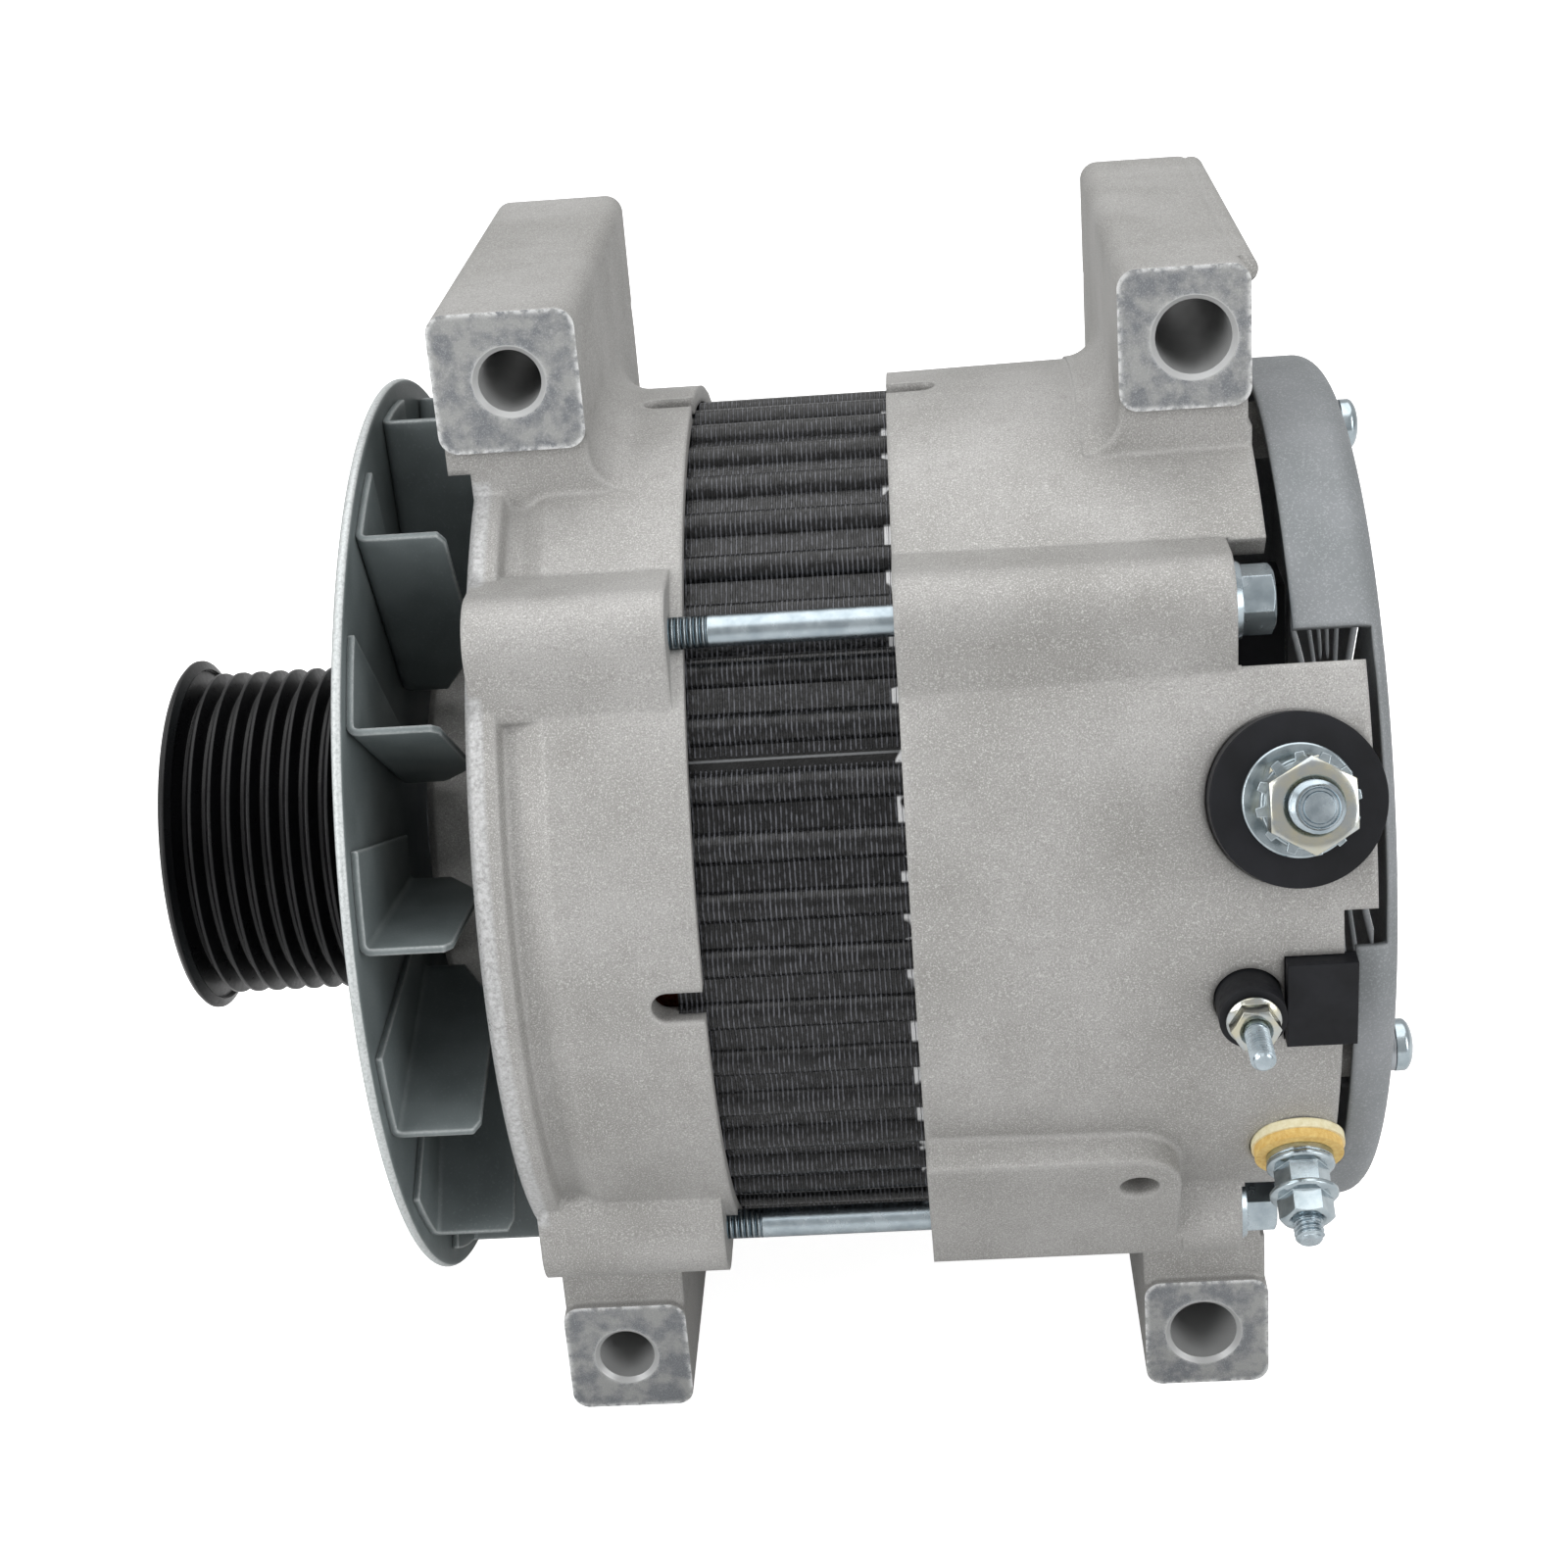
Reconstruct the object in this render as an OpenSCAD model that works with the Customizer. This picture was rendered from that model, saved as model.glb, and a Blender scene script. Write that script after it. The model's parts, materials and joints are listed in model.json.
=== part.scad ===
// Heavy duty claw pole alternator with an external fan and a grooved belt pulley.
// The shaft lies along X. The origin is on the shaft axis at the middle of the belt track.
// +X runs from the pulley to the rear cover, +Z is up and -Y is the side with the terminals.
// Angles round the shaft are counted from -Y, towards +Z.

/* [Pulley] */
// Number of grooves for the ribbed belt
belt_ribs = 10; // [6:1:12]
// Distance between two belt grooves
rib_pitch = 3.56; // [3.0:0.02:4.7]
// Radius over the crests between the grooves
pulley_radius = 30.4; // [28:0.2:40]
// Depth of one belt groove
groove_depth = 2.9; // [1.5:0.1:3.2]
// Height of the end flanges above the crests
flange_rise = 2.65; // [1:0.05:4]
// Thickness of one end flange
flange_t = 1.6; // [1:0.1:4]
// Radius of the recess in front of the pulley nut
pulley_recess_radius = 19.5; // [18:0.1:22]
// Thickness of the web that the nut clamps
pulley_web_t = 27.2; // [18:0.2:29]
// Length of the boss between the rear flange and the fan
pulley_boss_l = 4.8; // [1:0.1:8]
// Radius of the boss behind the pulley and of the fan's centre seat
clamp_radius = 16; // [14:0.2:20]

/* [Fan] */
// Outer radius of the fan plate
fan_radius = 83.4; // [82:0.1:90]
// Thickness of the fan plate
fan_plate_t = 1.8; // [1.5:0.1:3]
// Number of fan blades
blade_count = 14; // [9:1:16]
// Thickness of the bent sheet of a blade
blade_t = 1.2; // [1:0.1:2]
// Radius of the blades' outer edge
blade_tip_radius = 80.3; // [74:0.1:81]
// Radius where a blade starts above its foot
blade_root_radius = 40; // [39:0.5:50]
// Distance from the fan plate to the free edge of a blade
blade_reach = 15; // [11:0.2:20]
// Angle that the foot of a blade covers on the fan plate
foot_angle = 12; // [7:0.5:16]
// Angle of the first blade
blade_start = 9.4; // [0:0.1:30]

/* [Shaft and bearings] */
// Radius of the threaded shaft end
thread_radius = 9; // [8:0.1:10.5]
// Radius of the shaft under the pulley and the fan
drive_radius = 11; // [10.6:0.1:12]
// Radius of the shaft in the pole pieces
pole_seat_radius = 14; // [12.6:0.1:15.5]
// Radius of the shaft's shoulder behind the front bearing
shoulder_radius = 16; // [15.6:0.1:17.5]
// Radius of the shaft behind the pole pieces
tail_radius = 11.5; // [9:0.1:12]
// Bore radius, outer radius and width of the front bearing
front_bore = 12.5; // [12.2:0.1:13]
// Outer radius of the front bearing
front_outer = 31; // [29:0.1:33]
// Width of the front bearing
front_width = 17; // [15.5:0.5:19]
// Bore radius of the rear bearing
rear_bore = 8.5; // [8.2:0.1:8.8]
// Outer radius of the rear bearing
rear_outer = 23.5; // [22:0.1:25]
// Width of the rear bearing
rear_width = 14; // [12.5:0.5:16]
// Number of balls in each bearing
ball_count = 7; // [5:1:8]
// Clearance between a ball and what guides it
ball_gap = 0.2; // [0.05:0.05:0.3]
// Clearance left between pressed parts
press_gap = 0.02; // [0:0.01:0.04]
// Width and height of the pulley key
key_size = 5; // [4:0.5:6]
// Length of the pulley key
key_length = 16; // [10:1:20]

/* [Rotor] */
// Radius of the claws
rotor_radius = 52; // [48:0.1:52]
// Radial gap between the claws and the stator
air_gap = 0.4; // [0.3:0.05:1.5]
// Number of claws on one pole piece
claw_count = 8; // [6:1:8]
// Angle of a claw at its root
claw_root_angle = 24.4; // [20:0.2:24.6]
// Angle of a claw at its tip
claw_tip_angle = 8.8; // [6:0.2:9]
// Thickness of a claw at its root
claw_root_t = 9.5; // [6:0.1:11]
// Thickness of a claw at its tip
claw_tip_t = 4; // [2.5:0.1:5.5]
// Thickness of a pole piece's disc
pole_disc_t = 12.5; // [9:0.1:15]
// Radius of the iron core inside the field coil
pole_core_radius = 25; // [22:0.2:28]
// Distance from the middle of the rotor to the outside of a pole piece
rotor_half_length = 26; // [24:0.2:28]
// Gap between the tip of a claw and the far end of the rotor
claw_tip_gap = 4.5; // [2:0.1:8]
// Wall thickness of the coil's bobbin
bobbin_t = 1.2; // [0.8:0.1:2]
// Radial depth of the field winding
coil_depth = 13.5; // [8:0.1:14]

/* [Stator] */
// Radius of the laminated core over its ribs
stator_radius = 75.6; // [74:0.1:76]
// Depth of the grooves between the ribs outside the core
rib_depth = 1.9; // [0.8:0.1:2.4]
// Number of slots and of outer ribs
slot_count = 48; // [36:12:48]
// Angle of one of the outer ribs
rib_start = 3.9; // [0:0.1:7]
// Depth of a winding slot
slot_depth = 13; // [8:0.1:14]
// Width of a winding slot
slot_width = 3.6; // [2.5:0.1:3.8]
// Length of core that shows between the two frames
stator_visible = 34.3; // [20:0.1:60]
// Length of core that each frame grips
register_depth = 4.6; // [3:0.1:6]
// Radial clearance between the core and a frame
register_gap = 0.05; // [0.02:0.01:0.1]
// Length of the winding beyond each end of the core
winding_overhang = 14; // [8:0.2:17]

/* [Frames] */
// Radius of the front frame's flange
front_flange_radius = 79.4; // [78.5:0.1:81]
// Thickness of the front frame's flange
front_flange_t = 5.5; // [4:0.1:8]
// Radius of the front frame behind its flange
front_radius = 78.6; // [77.8:0.1:79.4]
// Radius of the groove behind the flange
front_groove_radius = 76.6; // [76:0.1:77.4]
// Length of the front frame from its flange to the stator
front_length = 35.5; // [33:0.5:48]
// Gap between the fan blades and the front frame
fan_gap = 4.1; // [2:0.1:8]
// Length of the bearing nose in front of the flange
nose_length = 15; // [10:0.2:15]
// Radius of the bearing nose
nose_radius = 37; // [36:0.1:38.5]
// Thickness of the lip in front of the front bearing
nose_lip = 4.4; // [2:0.1:5]
// Radius of the rear frame at the stator
rear_edge_radius = 78.7; // [78:0.1:79.5]
// Radius of the rear frame at its rear end
rear_end_radius = 79.6; // [79:0.1:81]
// Length of the rear frame from the stator to its open end
rear_length = 60.2; // [56:0.2:75]
// Radius inside both frames
frame_inner_radius = 73.2; // [72.5:0.1:73.8]
// Radius inside the room for the rectifier
chamber_radius = 75; // [74:0.1:75.5]
// Thickness of the walls that carry the bearings
wall_t = 6; // [4:0.1:8]
// Distance from the stator to the rear bearing wall
rear_wall_offset = 31.2; // [29:0.1:34]
// Length of the rear bearing hub
rear_hub_length = 20; // [18.5:0.1:22]
// Radius of the rear bearing hub
rear_hub_radius = 29; // [28:0.1:31]
// Thickness of the lip behind the rear bearing
rear_hub_lip = 3; // [2:0.1:4]
// Extra length of the rear frame behind the battery terminal
terminal_wall_l = 13.5; // [13:0.1:14]
// Extra length of the rear frame behind the two small terminals
side_wall_l = 8.1; // [6:0.1:9]
// Number of air windows in each bearing wall
window_count = 12; // [8:1:14]
// Angle of an air window
window_angle = 18; // [10:0.5:19]

/* [Through bolts] */
// Radius of the circle of the four through bolts
bolt_circle = 79.6; // [79:0.1:81]
// Radius of a through bolt
bolt_radius = 2.6; // [2:0.1:3]
// Clearance round a through bolt
bolt_gap = 0.4; // [0.2:0.05:0.6]
// Radius of the bolt bosses on the front frame
front_boss_radius = 8; // [7:0.1:9]
// Radius of the bolt bosses on the rear frame
rear_boss_radius = 8.2; // [8:0.1:9]
// Distance from the rear frame's open end back to the bolt seats
bolt_seat_offset = 6.5; // [5:0.1:12]
// Length of thread in the front frame
bolt_thread_l = 20; // [12:0.5:24]
// Width across the flats of a bolt head
bolt_head_flats = 10; // [8:0.5:11]
// Height of a bolt head above its flange
bolt_head_h = 5.3; // [4:0.1:7]
// Radius of the flange under a bolt head
bolt_flange_radius = 6.7; // [6.5:0.1:8]

/* [Mounting lugs] */
// Distance from the belt to the bore of the upper front lug
upper_front_x = 53.7; // [53.2:0.1:54.5]
// Distance from the belt to the bore of the lower front lug
lower_front_x = 54.8; // [54:0.1:55.5]
// Distance from the belt to the bore of the upper rear lug
upper_rear_x = 165.7; // [164:0.1:166.2]
// Distance from the belt to the bore of the lower rear lug
lower_rear_x = 164.3; // [163:0.1:165]
// Height of the upper lug bores above the shaft
upper_lug_z = 92.8; // [91.5:0.1:105]
// Depth of the lower lug bores below the shaft
lower_lug_z = 96.9; // [93:0.1:108]
// Height of an upper lug
upper_lug_h = 23.6; // [21:0.1:26]
// Height of a lower lug
lower_lug_h = 22.8; // [21:0.1:26]
// Corner radius of a lug
lug_corner = 3.2; // [1:0.1:5]
// Distance from the shaft's upright plane to the near faces of the upper lugs
upper_lug_near = 31.8; // [26:0.1:36]
// Distance from the shaft's upright plane to the near faces of the lower lugs
lower_lug_near = 38.2; // [30:0.1:42]
// Distance from the shaft's upright plane to the mounting faces
mounting_face_y = 56.4; // [56.4:0.1:62]
// Step from a machined lug face back to its neck
lug_face_step = 1.6; // [0.5:0.1:3]
// Bore radius of the front lugs
front_bolt_hole = 5.25; // [4.5:0.05:6.5]
// Bore radius of the rear lugs
rear_bolt_hole = 6.25; // [5:0.05:7]
// Chamfer at the mouth of a lug bore
hole_chamfer = 0.8; // [0.3:0.1:1.5]
// Taper of a lug's neck on the side towards the middle of the housing
lug_draft = 0.5; // [0.1:0.1:2]
// Radius of the fillet between a lug and its frame
lug_fillet = 6; // [3:0.5:8]

/* [Bracket pad] */
// Angle of the flat bracket pad on the rear frame
pad_angle = -29.3; // [-30:0.1:-28.5]
// Length of the bracket pad
pad_length = 42.5; // [36:0.5:46]
// Distance from the shaft to the pad's face
pad_height = 84.4; // [84:0.1:84.7]
// Distance from the line of the pad's tapped hole up to the pad's upper edge
pad_rise = 8.5; // [7:0.1:10]
// Distance from the line of the pad's tapped hole down to the bolt boss
pad_drop = 23; // [22:0.1:23.5]
// Radius of the tapped hole in the pad
pad_hole_radius = 3.4; // [2.5:0.1:4]
// Depth of the tapped hole in the pad
pad_hole_depth = 9; // [6:0.5:10]
// Distance from the end of the pad to its tapped hole
pad_hole_setback = 7; // [6:0.1:10]

/* [Terminals] */
// Angle of the battery terminal
battery_angle = 21.6; // [20:0.1:23]
// Radius of the battery stud
battery_stud_radius = 4; // [3.5:0.1:5]
// Distance from the shaft to the end of the battery stud
battery_stud_end = 108; // [105:0.5:118]
// Radius of the battery terminal's insulator
battery_disc_radius = 13.8; // [12:0.1:14.4]
// Distance from the shaft to the insulator's outer face
battery_disc_top = 84.5; // [82:0.1:87]
// Width across the flats of the battery nuts
battery_nut_flats = 13; // [12:0.5:15]
// Height of a battery nut
battery_nut_h = 6.5; // [5:0.1:7.5]
// Angle of the signal terminal
signal_angle = -2.3; // [-3:0.1:-1.5]
// Distance from the rear frame's open end back to the signal terminal
signal_setback = 7; // [6:0.1:8]
// Radius of the signal stud
signal_stud_radius = 2; // [1.5:0.1:2.5]
// Distance from the shaft to the end of the signal stud
signal_stud_end = 98.5; // [95:0.5:104]
// Angle at which the ground stud points
ground_angle = -32.6; // [-33:0.1:-31]
// Distance of the ground stud above the plane through the shaft that it is parallel to
ground_rise = 8.3; // [8:0.1:9.5]
// Radius of the ground stud
ground_stud_radius = 2.5; // [2:0.1:3]
// Distance from the shaft to the end of the ground stud
ground_stud_end = 97; // [95:0.5:104]
// Radius of the fibre washers at the ground terminal
fibre_radius = 7.8; // [7:0.1:8.4]

/* [Rear cover] */
// Outer radius of the cover
cover_radius = 77.2; // [76.6:0.1:77.4]
// Thickness of the cover's sheet
cover_t = 1.2; // [0.8:0.1:2]
// Distance from the rear frame's open end to the back of the cover
cover_back = 17.6; // [17.3:0.1:22]
// Gap between the rear frame's open end and the cover's rim
cover_rim_gap = 3; // [1:0.1:5]
// Radius of the cover's rounded edge
cover_corner = 4.5; // [2.5:0.1:6]
// Height of the raised middle of the cover
cover_rise = 1.4; // [0.5:0.1:3]
// Radius of the raised middle of the cover
cover_rise_radius = 59; // [50:0.5:60.5]
// Number of air slots in the back of the cover
cover_slot_count = 16; // [8:1:18]
// Width of an air slot
cover_slot_w = 5; // [3:0.1:6]
// Radius of the circle of the cover screws
cover_screw_circle = 67; // [66:0.1:67.5]
// Radius of a cover screw's shank
cover_screw_radius = 2.4; // [2:0.1:3]
// Radius of a cover screw's head
cover_head_radius = 4.4; // [4:0.1:5]

/* [Slip rings and rectifier] */
// Outer radius of a slip ring
slip_ring_radius = 13; // [12:0.1:14]
// Width of a slip ring
slip_ring_w = 6; // [5:0.1:6.4]
// Gap between the two slip rings
slip_ring_gap = 3; // [2.6:0.1:4]
// Width of a brush along the shaft
brush_w = 4.5; // [3.5:0.1:4.8]
// Width of a brush across the shaft
brush_depth = 6.5; // [5:0.1:8]
// Length of a new brush
brush_length = 14; // [10:0.2:15]
// Clearance of a brush in its holder
brush_gap = 0.15; // [0.1:0.05:0.25]
// Clearance between a resting brush and its slip ring
brush_seat_gap = 0.2; // [0.1:0.05:0.3]
// Room for a brush to be pushed back into its holder
brush_travel = 4; // [2:0.5:6]
// Number of turns of a brush spring
spring_turns = 6; // [4:1:9]
// Thickness of the rectifier plates
plate_t = 4; // [3:0.1:5]
// Distance of the positive plate from the bearing wall
standoff_l = 8; // [5:0.1:9]
// Radius of a rectifier diode
diode_radius = 6.4; // [5:0.1:7]

/* [Hidden] */
$fn = 96;
over = 1;

// Stations along the shaft, from the belt to the rear cover
groove_zone = belt_ribs * rib_pitch;
pulley_half = groove_zone / 2 + flange_t;
fan_x = pulley_half + pulley_boss_l;
fan_back = fan_x + fan_plate_t;
flange_x = fan_back + blade_reach + fan_gap;
nose_x = flange_x - nose_length;
front_bearing_x = nose_x + nose_lip;
front_bearing_end = front_bearing_x + front_width;
front_edge_x = flange_x + front_length;
rear_edge_x = front_edge_x + stator_visible;
core_x = front_edge_x - register_depth;
core_end = rear_edge_x + register_depth;
core_half = (core_end - core_x) / 2;
rotor_mid = core_x + core_half;
rear_wall_x = rear_edge_x + rear_wall_offset;
rear_wall_back = rear_wall_x + wall_t;
rear_hub_end = rear_wall_x + rear_hub_length;
rear_bearing_end = rear_hub_end - rear_hub_lip;
rear_bearing_x = rear_bearing_end - rear_width;
rear_end_x = rear_edge_x + rear_length;
bolt_seat_x = rear_end_x - bolt_seat_offset;
cover_x = rear_end_x + cover_rim_gap;
cover_end = rear_end_x + cover_back;

// Angles round the shaft
BOLT_ANGLES = [45, 135, 225, 315];
SCREW_ANGLES = [90, -19.3, 205];
TERMINAL_WALL = [8.4, 38];
SIDE_WALL = [-34, 8.4];
pocket_angle = 8;

// How far each lug reaches in front of its bore and behind it
UPPER_FRONT_REACH = [12.9, 11.7];
LOWER_FRONT_REACH = [11.2, 12];
UPPER_REAR_REACH = [12.3, 9.3];
LOWER_REAR_REACH = [10.9, 12.1];

// Pieces along the belt drive
nut_h = 12;
nut_flats = 27;
spring_washer_t = 3;
spring_washer_radius = 14.5;
thread_stand_out = 1.5;
web_x = fan_x - pulley_web_t;
nut_x = web_x - spring_washer_t - nut_h;
shaft_end_x = nut_x - thread_stand_out;
key_x = web_x + 3;
key_sunk = 0.6;
groove_bottom = 0.35;
groove_angle_half = 20;
collar_radius = 16;
collar_gap = 1.5;
seat_relief = 1;
bend_radius = 2.6;
bend_lap = 0.2;
retainer_t = 2.5;
retainer_screw_circle = 35.5;
retainer_screw_radius = 2;
retainer_head_radius = 3.6;
retainer_head_h = 2;
retainer_screw_l = 11;
retainer_radius = 40.5;
retainer_hole = 23;
hub_radius = 42;

// Bearing shapes
race_depth = 0.32;
front_pitch = (front_bore + front_outer) / 2;
rear_pitch = (rear_bore + rear_outer) / 2;
front_ball = (front_outer - front_bore) * 0.31;
rear_ball = (rear_outer - rear_bore) * 0.29;
cage_half_t = 0.24;
cage_margin = 1.3;

// Pole pieces
pole_x = rotor_mid - rotor_half_length;
pole_end = rotor_mid + rotor_half_length;
coil_gap = 0.3;
coil_x = pole_x + pole_disc_t + coil_gap;
coil_end = pole_end - pole_disc_t - coil_gap;
bobbin_inner = pole_core_radius + press_gap;
coil_outer = bobbin_inner + bobbin_t + coil_depth;
shaft_step_x = pole_end;

// Slip rings and brushes
sleeve_radius = 10;
sleeve_bore = 7;
sleeve_x = rear_bearing_end;
ring_margin = 2;
first_ring_x = rear_hub_end + ring_margin;
second_ring_x = first_ring_x + slip_ring_w + slip_ring_gap;
sleeve_end = second_ring_x + slip_ring_w + ring_margin;
tail_end = sleeve_end + 1;
hub_hole = 15;
holder_bottom = slip_ring_radius + 2.5;
brush_bottom = slip_ring_radius + brush_seat_gap;
brush_top = slip_ring_radius + brush_length;
spring_room = 11;
holder_wall = 1.4;
holder_top = brush_top + spring_room + 2;
holder_half_y = brush_depth / 2 + 3;
holder_x = first_ring_x + slip_ring_w / 2 - brush_w / 2 - holder_wall;
holder_end = second_ring_x + slip_ring_w / 2 + brush_w / 2 + holder_wall;
spring_wire = 0.35;
spring_radius = 1.6;
holder_foot_z = rear_hub_radius + 0.5;
holder_foot_end = 61;
holder_foot_w = 29;
holder_ears_z = 46;
holder_foot_t = 4;

// Rectifier and regulator
plate_inner = 33;
plate_outer = 66;
positive_x = rear_wall_back + standoff_l;
POSITIVE_SECTOR = [-8, 67];
NEGATIVE_SECTOR = [110, 190];
small_screw_radius = 2;
small_head_radius = 3.8;
small_head_h = 2.4;
screw_bite = 4.5;
plate_screw_circle = 46;
POSITIVE_SCREWS = [0, 30];
NEGATIVE_SCREWS = [120, 180];
diode_circle = 52;
POSITIVE_DIODES = [15, 43.5, 59];
NEGATIVE_DIODES = [134, 150, 166];
regulator_screw_angle = 14;
holder_screw_angle = 10;
diode_h = 7;
diode_pin = 0.7;
lug_block_w = 16;
regulator_w = 40;
regulator_h = 13;
REGULATOR_SPAN = [34, 61];

// Posts, windows and slots of the frames
post_radius = 5;
washer_t = 1.3;
tap_gap = 0.05;
window_inner = 48;
window_outer = 67.5;
rear_window_inner = 36.5;
rear_window_outer = 54.5;
wall_screw_circle = 57.5;
notch_l = 8.6;
notch_w = 5.4;

// Terminal stacks, counted outwards from the shaft
spot_depth = 1.4;
spot_plane = rear_end_radius - spot_depth;
insulator_neck = 9;
insulator_inner = 66.5;
battery_x = rear_end_x + 1;
thread_relief = 0.3;
free_gap = 0.4;
battery_washer_t = 1.6;
battery_washer_radius = 9;
battery_nut1 = battery_disc_top + battery_washer_t;
battery_nut2 = battery_nut1 + battery_nut_h + 2 * battery_washer_t;
signal_x = rear_end_x - signal_setback;
signal_ring_radius = 5.4;
signal_ring_top = 85.5;
signal_nut_h = 4;
signal_nut_flats = 7;
signal_flange_radius = 4.4;
ground_x = rear_end_x + 2;
fibre_top = 81.5;
ground_washer_t = 1.2;
ground_nut_h = 5.2;
ground_nut_flats = 8;
ground_flange_radius = 5.7;
ground_washer_radius = 5.6;
ground_nut1 = fibre_top + ground_washer_t;
stack_gap = 0.03;
ground_nut2 = ground_nut1 + ground_nut_h + stack_gap;
block_w = 15;
block_z = -0.2;
block_top = 82;
block_x = signal_x + signal_ring_radius + 0.4;
block_end = rear_end_x + 10;
chamfer = 0.6;

// Turns a profile of [radius, station] points round the shaft
module turned() {
    rotate([0, 90, 0])
    rotate_extrude()
    children();
}

// Turns the same kind of profile between two angles
module turned_between(from, to) {
    rotate([0, 90, 0])
    rotate([0, 0, -90 - to])
    rotate_extrude(angle = to - from)
    children();
}

// Turns a child that points along -Y to an angle round the shaft
module at_angle(a) {
    rotate([-a, 0, 0])
    children();
}

// Stands a child's Z axis outwards at an angle and a station
module outwards(a, x) {
    at_angle(a)
    translate([x, 0, 0])
    rotate([90, 0, 0])
    children();
}

// Stands a child's Z axis on the axis of the ground stud
module on_ground_stud() {
    at_angle(ground_angle)
    translate([ground_x, 0, ground_rise])
    rotate([90, 0, 0])
    children();
}

// Lays a child's Z axis along the shaft at an angle, a radius and a station
module along_shaft(a, r, x) {
    at_angle(a)
    translate([x, -r, 0])
    rotate([0, 90, 0])
    children();
}

// Rectangle of a turned profile
module band(r0, r1, x0, x1) {
    translate([r0, x0])
    square([r1 - r0, x1 - x0]);
}

// Ring round the shaft
module ring(r0, r1, x0, x1) {
    turned()
    band(r0, r1, x0, x1);
}

// Extrudes an outline of [x, z] points from one Y to another
module between_y(near, far) {
    translate([0, far, 0])
    rotate([90, 0, 0])
    linear_extrude(far - near)
    children();
}

// Rectangle with round corners, centred
module round_rect(w, h, r) {
    square([w - 2 * r, h], center = true);
    square([w, h - 2 * r], center = true);
    for (x = [-1, 1], y = [-1, 1])
        translate([x * (w / 2 - r), y * (h / 2 - r)])
        circle(r);
}

// Hexagonal prism with chamfered corners at its top
module hex_prism(flats, h) {
    corner = flats / sqrt(3);
    intersection() {
        cylinder(r = corner, h = h, $fn = 6);
        union() {
            cylinder(r = corner + over, h = h - chamfer);
            translate([0, 0, h - chamfer])
            cylinder(r1 = corner, r2 = corner - 2 * chamfer, h = chamfer);
        }
    }
}

// Hexagonal nut with a bore
module hex_nut(flats, h, bore) {
    difference() {
        hex_prism(flats, h);
        translate([0, 0, -over])
        cylinder(r = bore, h = h + 2 * over);
    }
}

// Hexagonal nut that stands on its own round flange
module flange_nut(flats, h, bore, flange_radius) {
    flange_h = 1.2;
    difference() {
        union() {
            cylinder(r = flange_radius, h = flange_h);
            hex_prism(flats, h);
        }
        translate([0, 0, -over])
        cylinder(r = bore, h = h + 2 * over);
    }
}

// Flat round washer
module washer(outer, bore, t) {
    difference() {
        cylinder(r = outer, h = t);
        translate([0, 0, -over])
        cylinder(r = bore, h = t + 2 * over);
    }
}

// Screw with a domed head on top of its seat at Z = 0, and a shank below
module pan_screw(shank, head, head_h, l) {
    translate([0, 0, -l])
    cylinder(r = shank, h = l + head_h / 2);
    rotate_extrude()
    intersection() {
        square([head, head_h]);
        union() {
            square([head, head_h * 0.45]);
            translate([0, head_h * 0.45])
            scale([head, head_h * 0.55])
            circle(1);
        }
    }
}

// Stud along Z. Its free end, where a cable's eye goes, starts at a station of its own.
module threaded_stud(r, inner, free, end) {
    tip = r * 0.15;
    translate([0, 0, inner])
    cylinder(r = r, h = free - inner);
    translate([0, 0, free - over])
    cylinder(r = r - thread_relief, h = end - tip - free + over);
    translate([0, 0, end - tip])
    cylinder(r1 = r - thread_relief, r2 = r - thread_relief - tip, h = tip);
}

// Cast frames

// Cross-section of a bolt boss with flanks that run down to the shell
module boss_section(r) {
    flank_foot = r + 5;
    translate([0, -bolt_circle])
    circle(r);
    polygon([
        [-flank_foot, -frame_inner_radius], [flank_foot, -frame_inner_radius],
        [flank_foot, -frame_inner_radius - 4], [r * 0.8, -bolt_circle - r * 0.6],
        [-r * 0.8, -bolt_circle - r * 0.6], [-flank_foot, -frame_inner_radius - 4]]);
}

module bolt_bosses(r, x0, x1) {
    for (a = BOLT_ANGLES)
        at_angle(a)
        translate([x0, 0, 0])
        rotate([0, 90, 0])
        linear_extrude(x1 - x0)
        boss_section(r);
}

// One lug: a long bar with a machined near face, and a neck that reaches down into the frame.
// up is 1 for an upper lug and -1 for a lower one. side is 1 where the neck widens towards +X.
module lug(x, reach, up, side, frame_radius) {
    top = up > 0 ? upper_lug_z : lower_lug_z;
    h = up > 0 ? upper_lug_h : lower_lug_h;
    near = up > 0 ? upper_lug_near : lower_lug_near;
    foot = 55;
    tab_z = 77;
    neck_inset = 0.5;
    w = reach[0] + reach[1];
    mid = x + (reach[1] - reach[0]) / 2;
    inner_x = mid + side * (w / 2 - neck_inset);
    outer_x = mid - side * (w / 2 - neck_inset);
    wall_x = inner_x + side * lug_draft;
    face_x = side > 0 ? flange_x : rear_end_x;
    mirror([0, 0, up < 0 ? 1 : 0])
    union() {
        between_y(-near, mounting_face_y)
        translate([mid, top])
        round_rect(w, h, lug_corner);
        intersection() {
            between_y(-near + lug_face_step, mounting_face_y)
            polygon([
                [outer_x, top + h / 3], [inner_x, top + h / 3], [wall_x, frame_radius],
                [wall_x, foot], [face_x, foot], [face_x, tab_z], [outer_x, tab_z]]);
            turned()
            band(foot, 2 * top, x - 2 * w, x + 2 * w);
        }
        intersection() {
            between_y(-near + lug_face_step, mounting_face_y)
            translate([wall_x - w, foot])
            square([2 * w, top - foot + h / 3]);
            lug_fillet_ring(wall_x, side, frame_radius);
        }
    }
}

// Round fillet between the side of a lug and the frame
module lug_fillet_ring(x, side, frame_radius) {
    sunk = 2;
    turned_between(20, 160)
    difference() {
        translate([frame_radius - sunk, side > 0 ? x - sunk : x - lug_fillet])
        square([lug_fillet + sunk, lug_fillet + sunk]);
        translate([frame_radius + lug_fillet, x + side * lug_fillet])
        circle(lug_fillet);
    }
}

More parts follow.
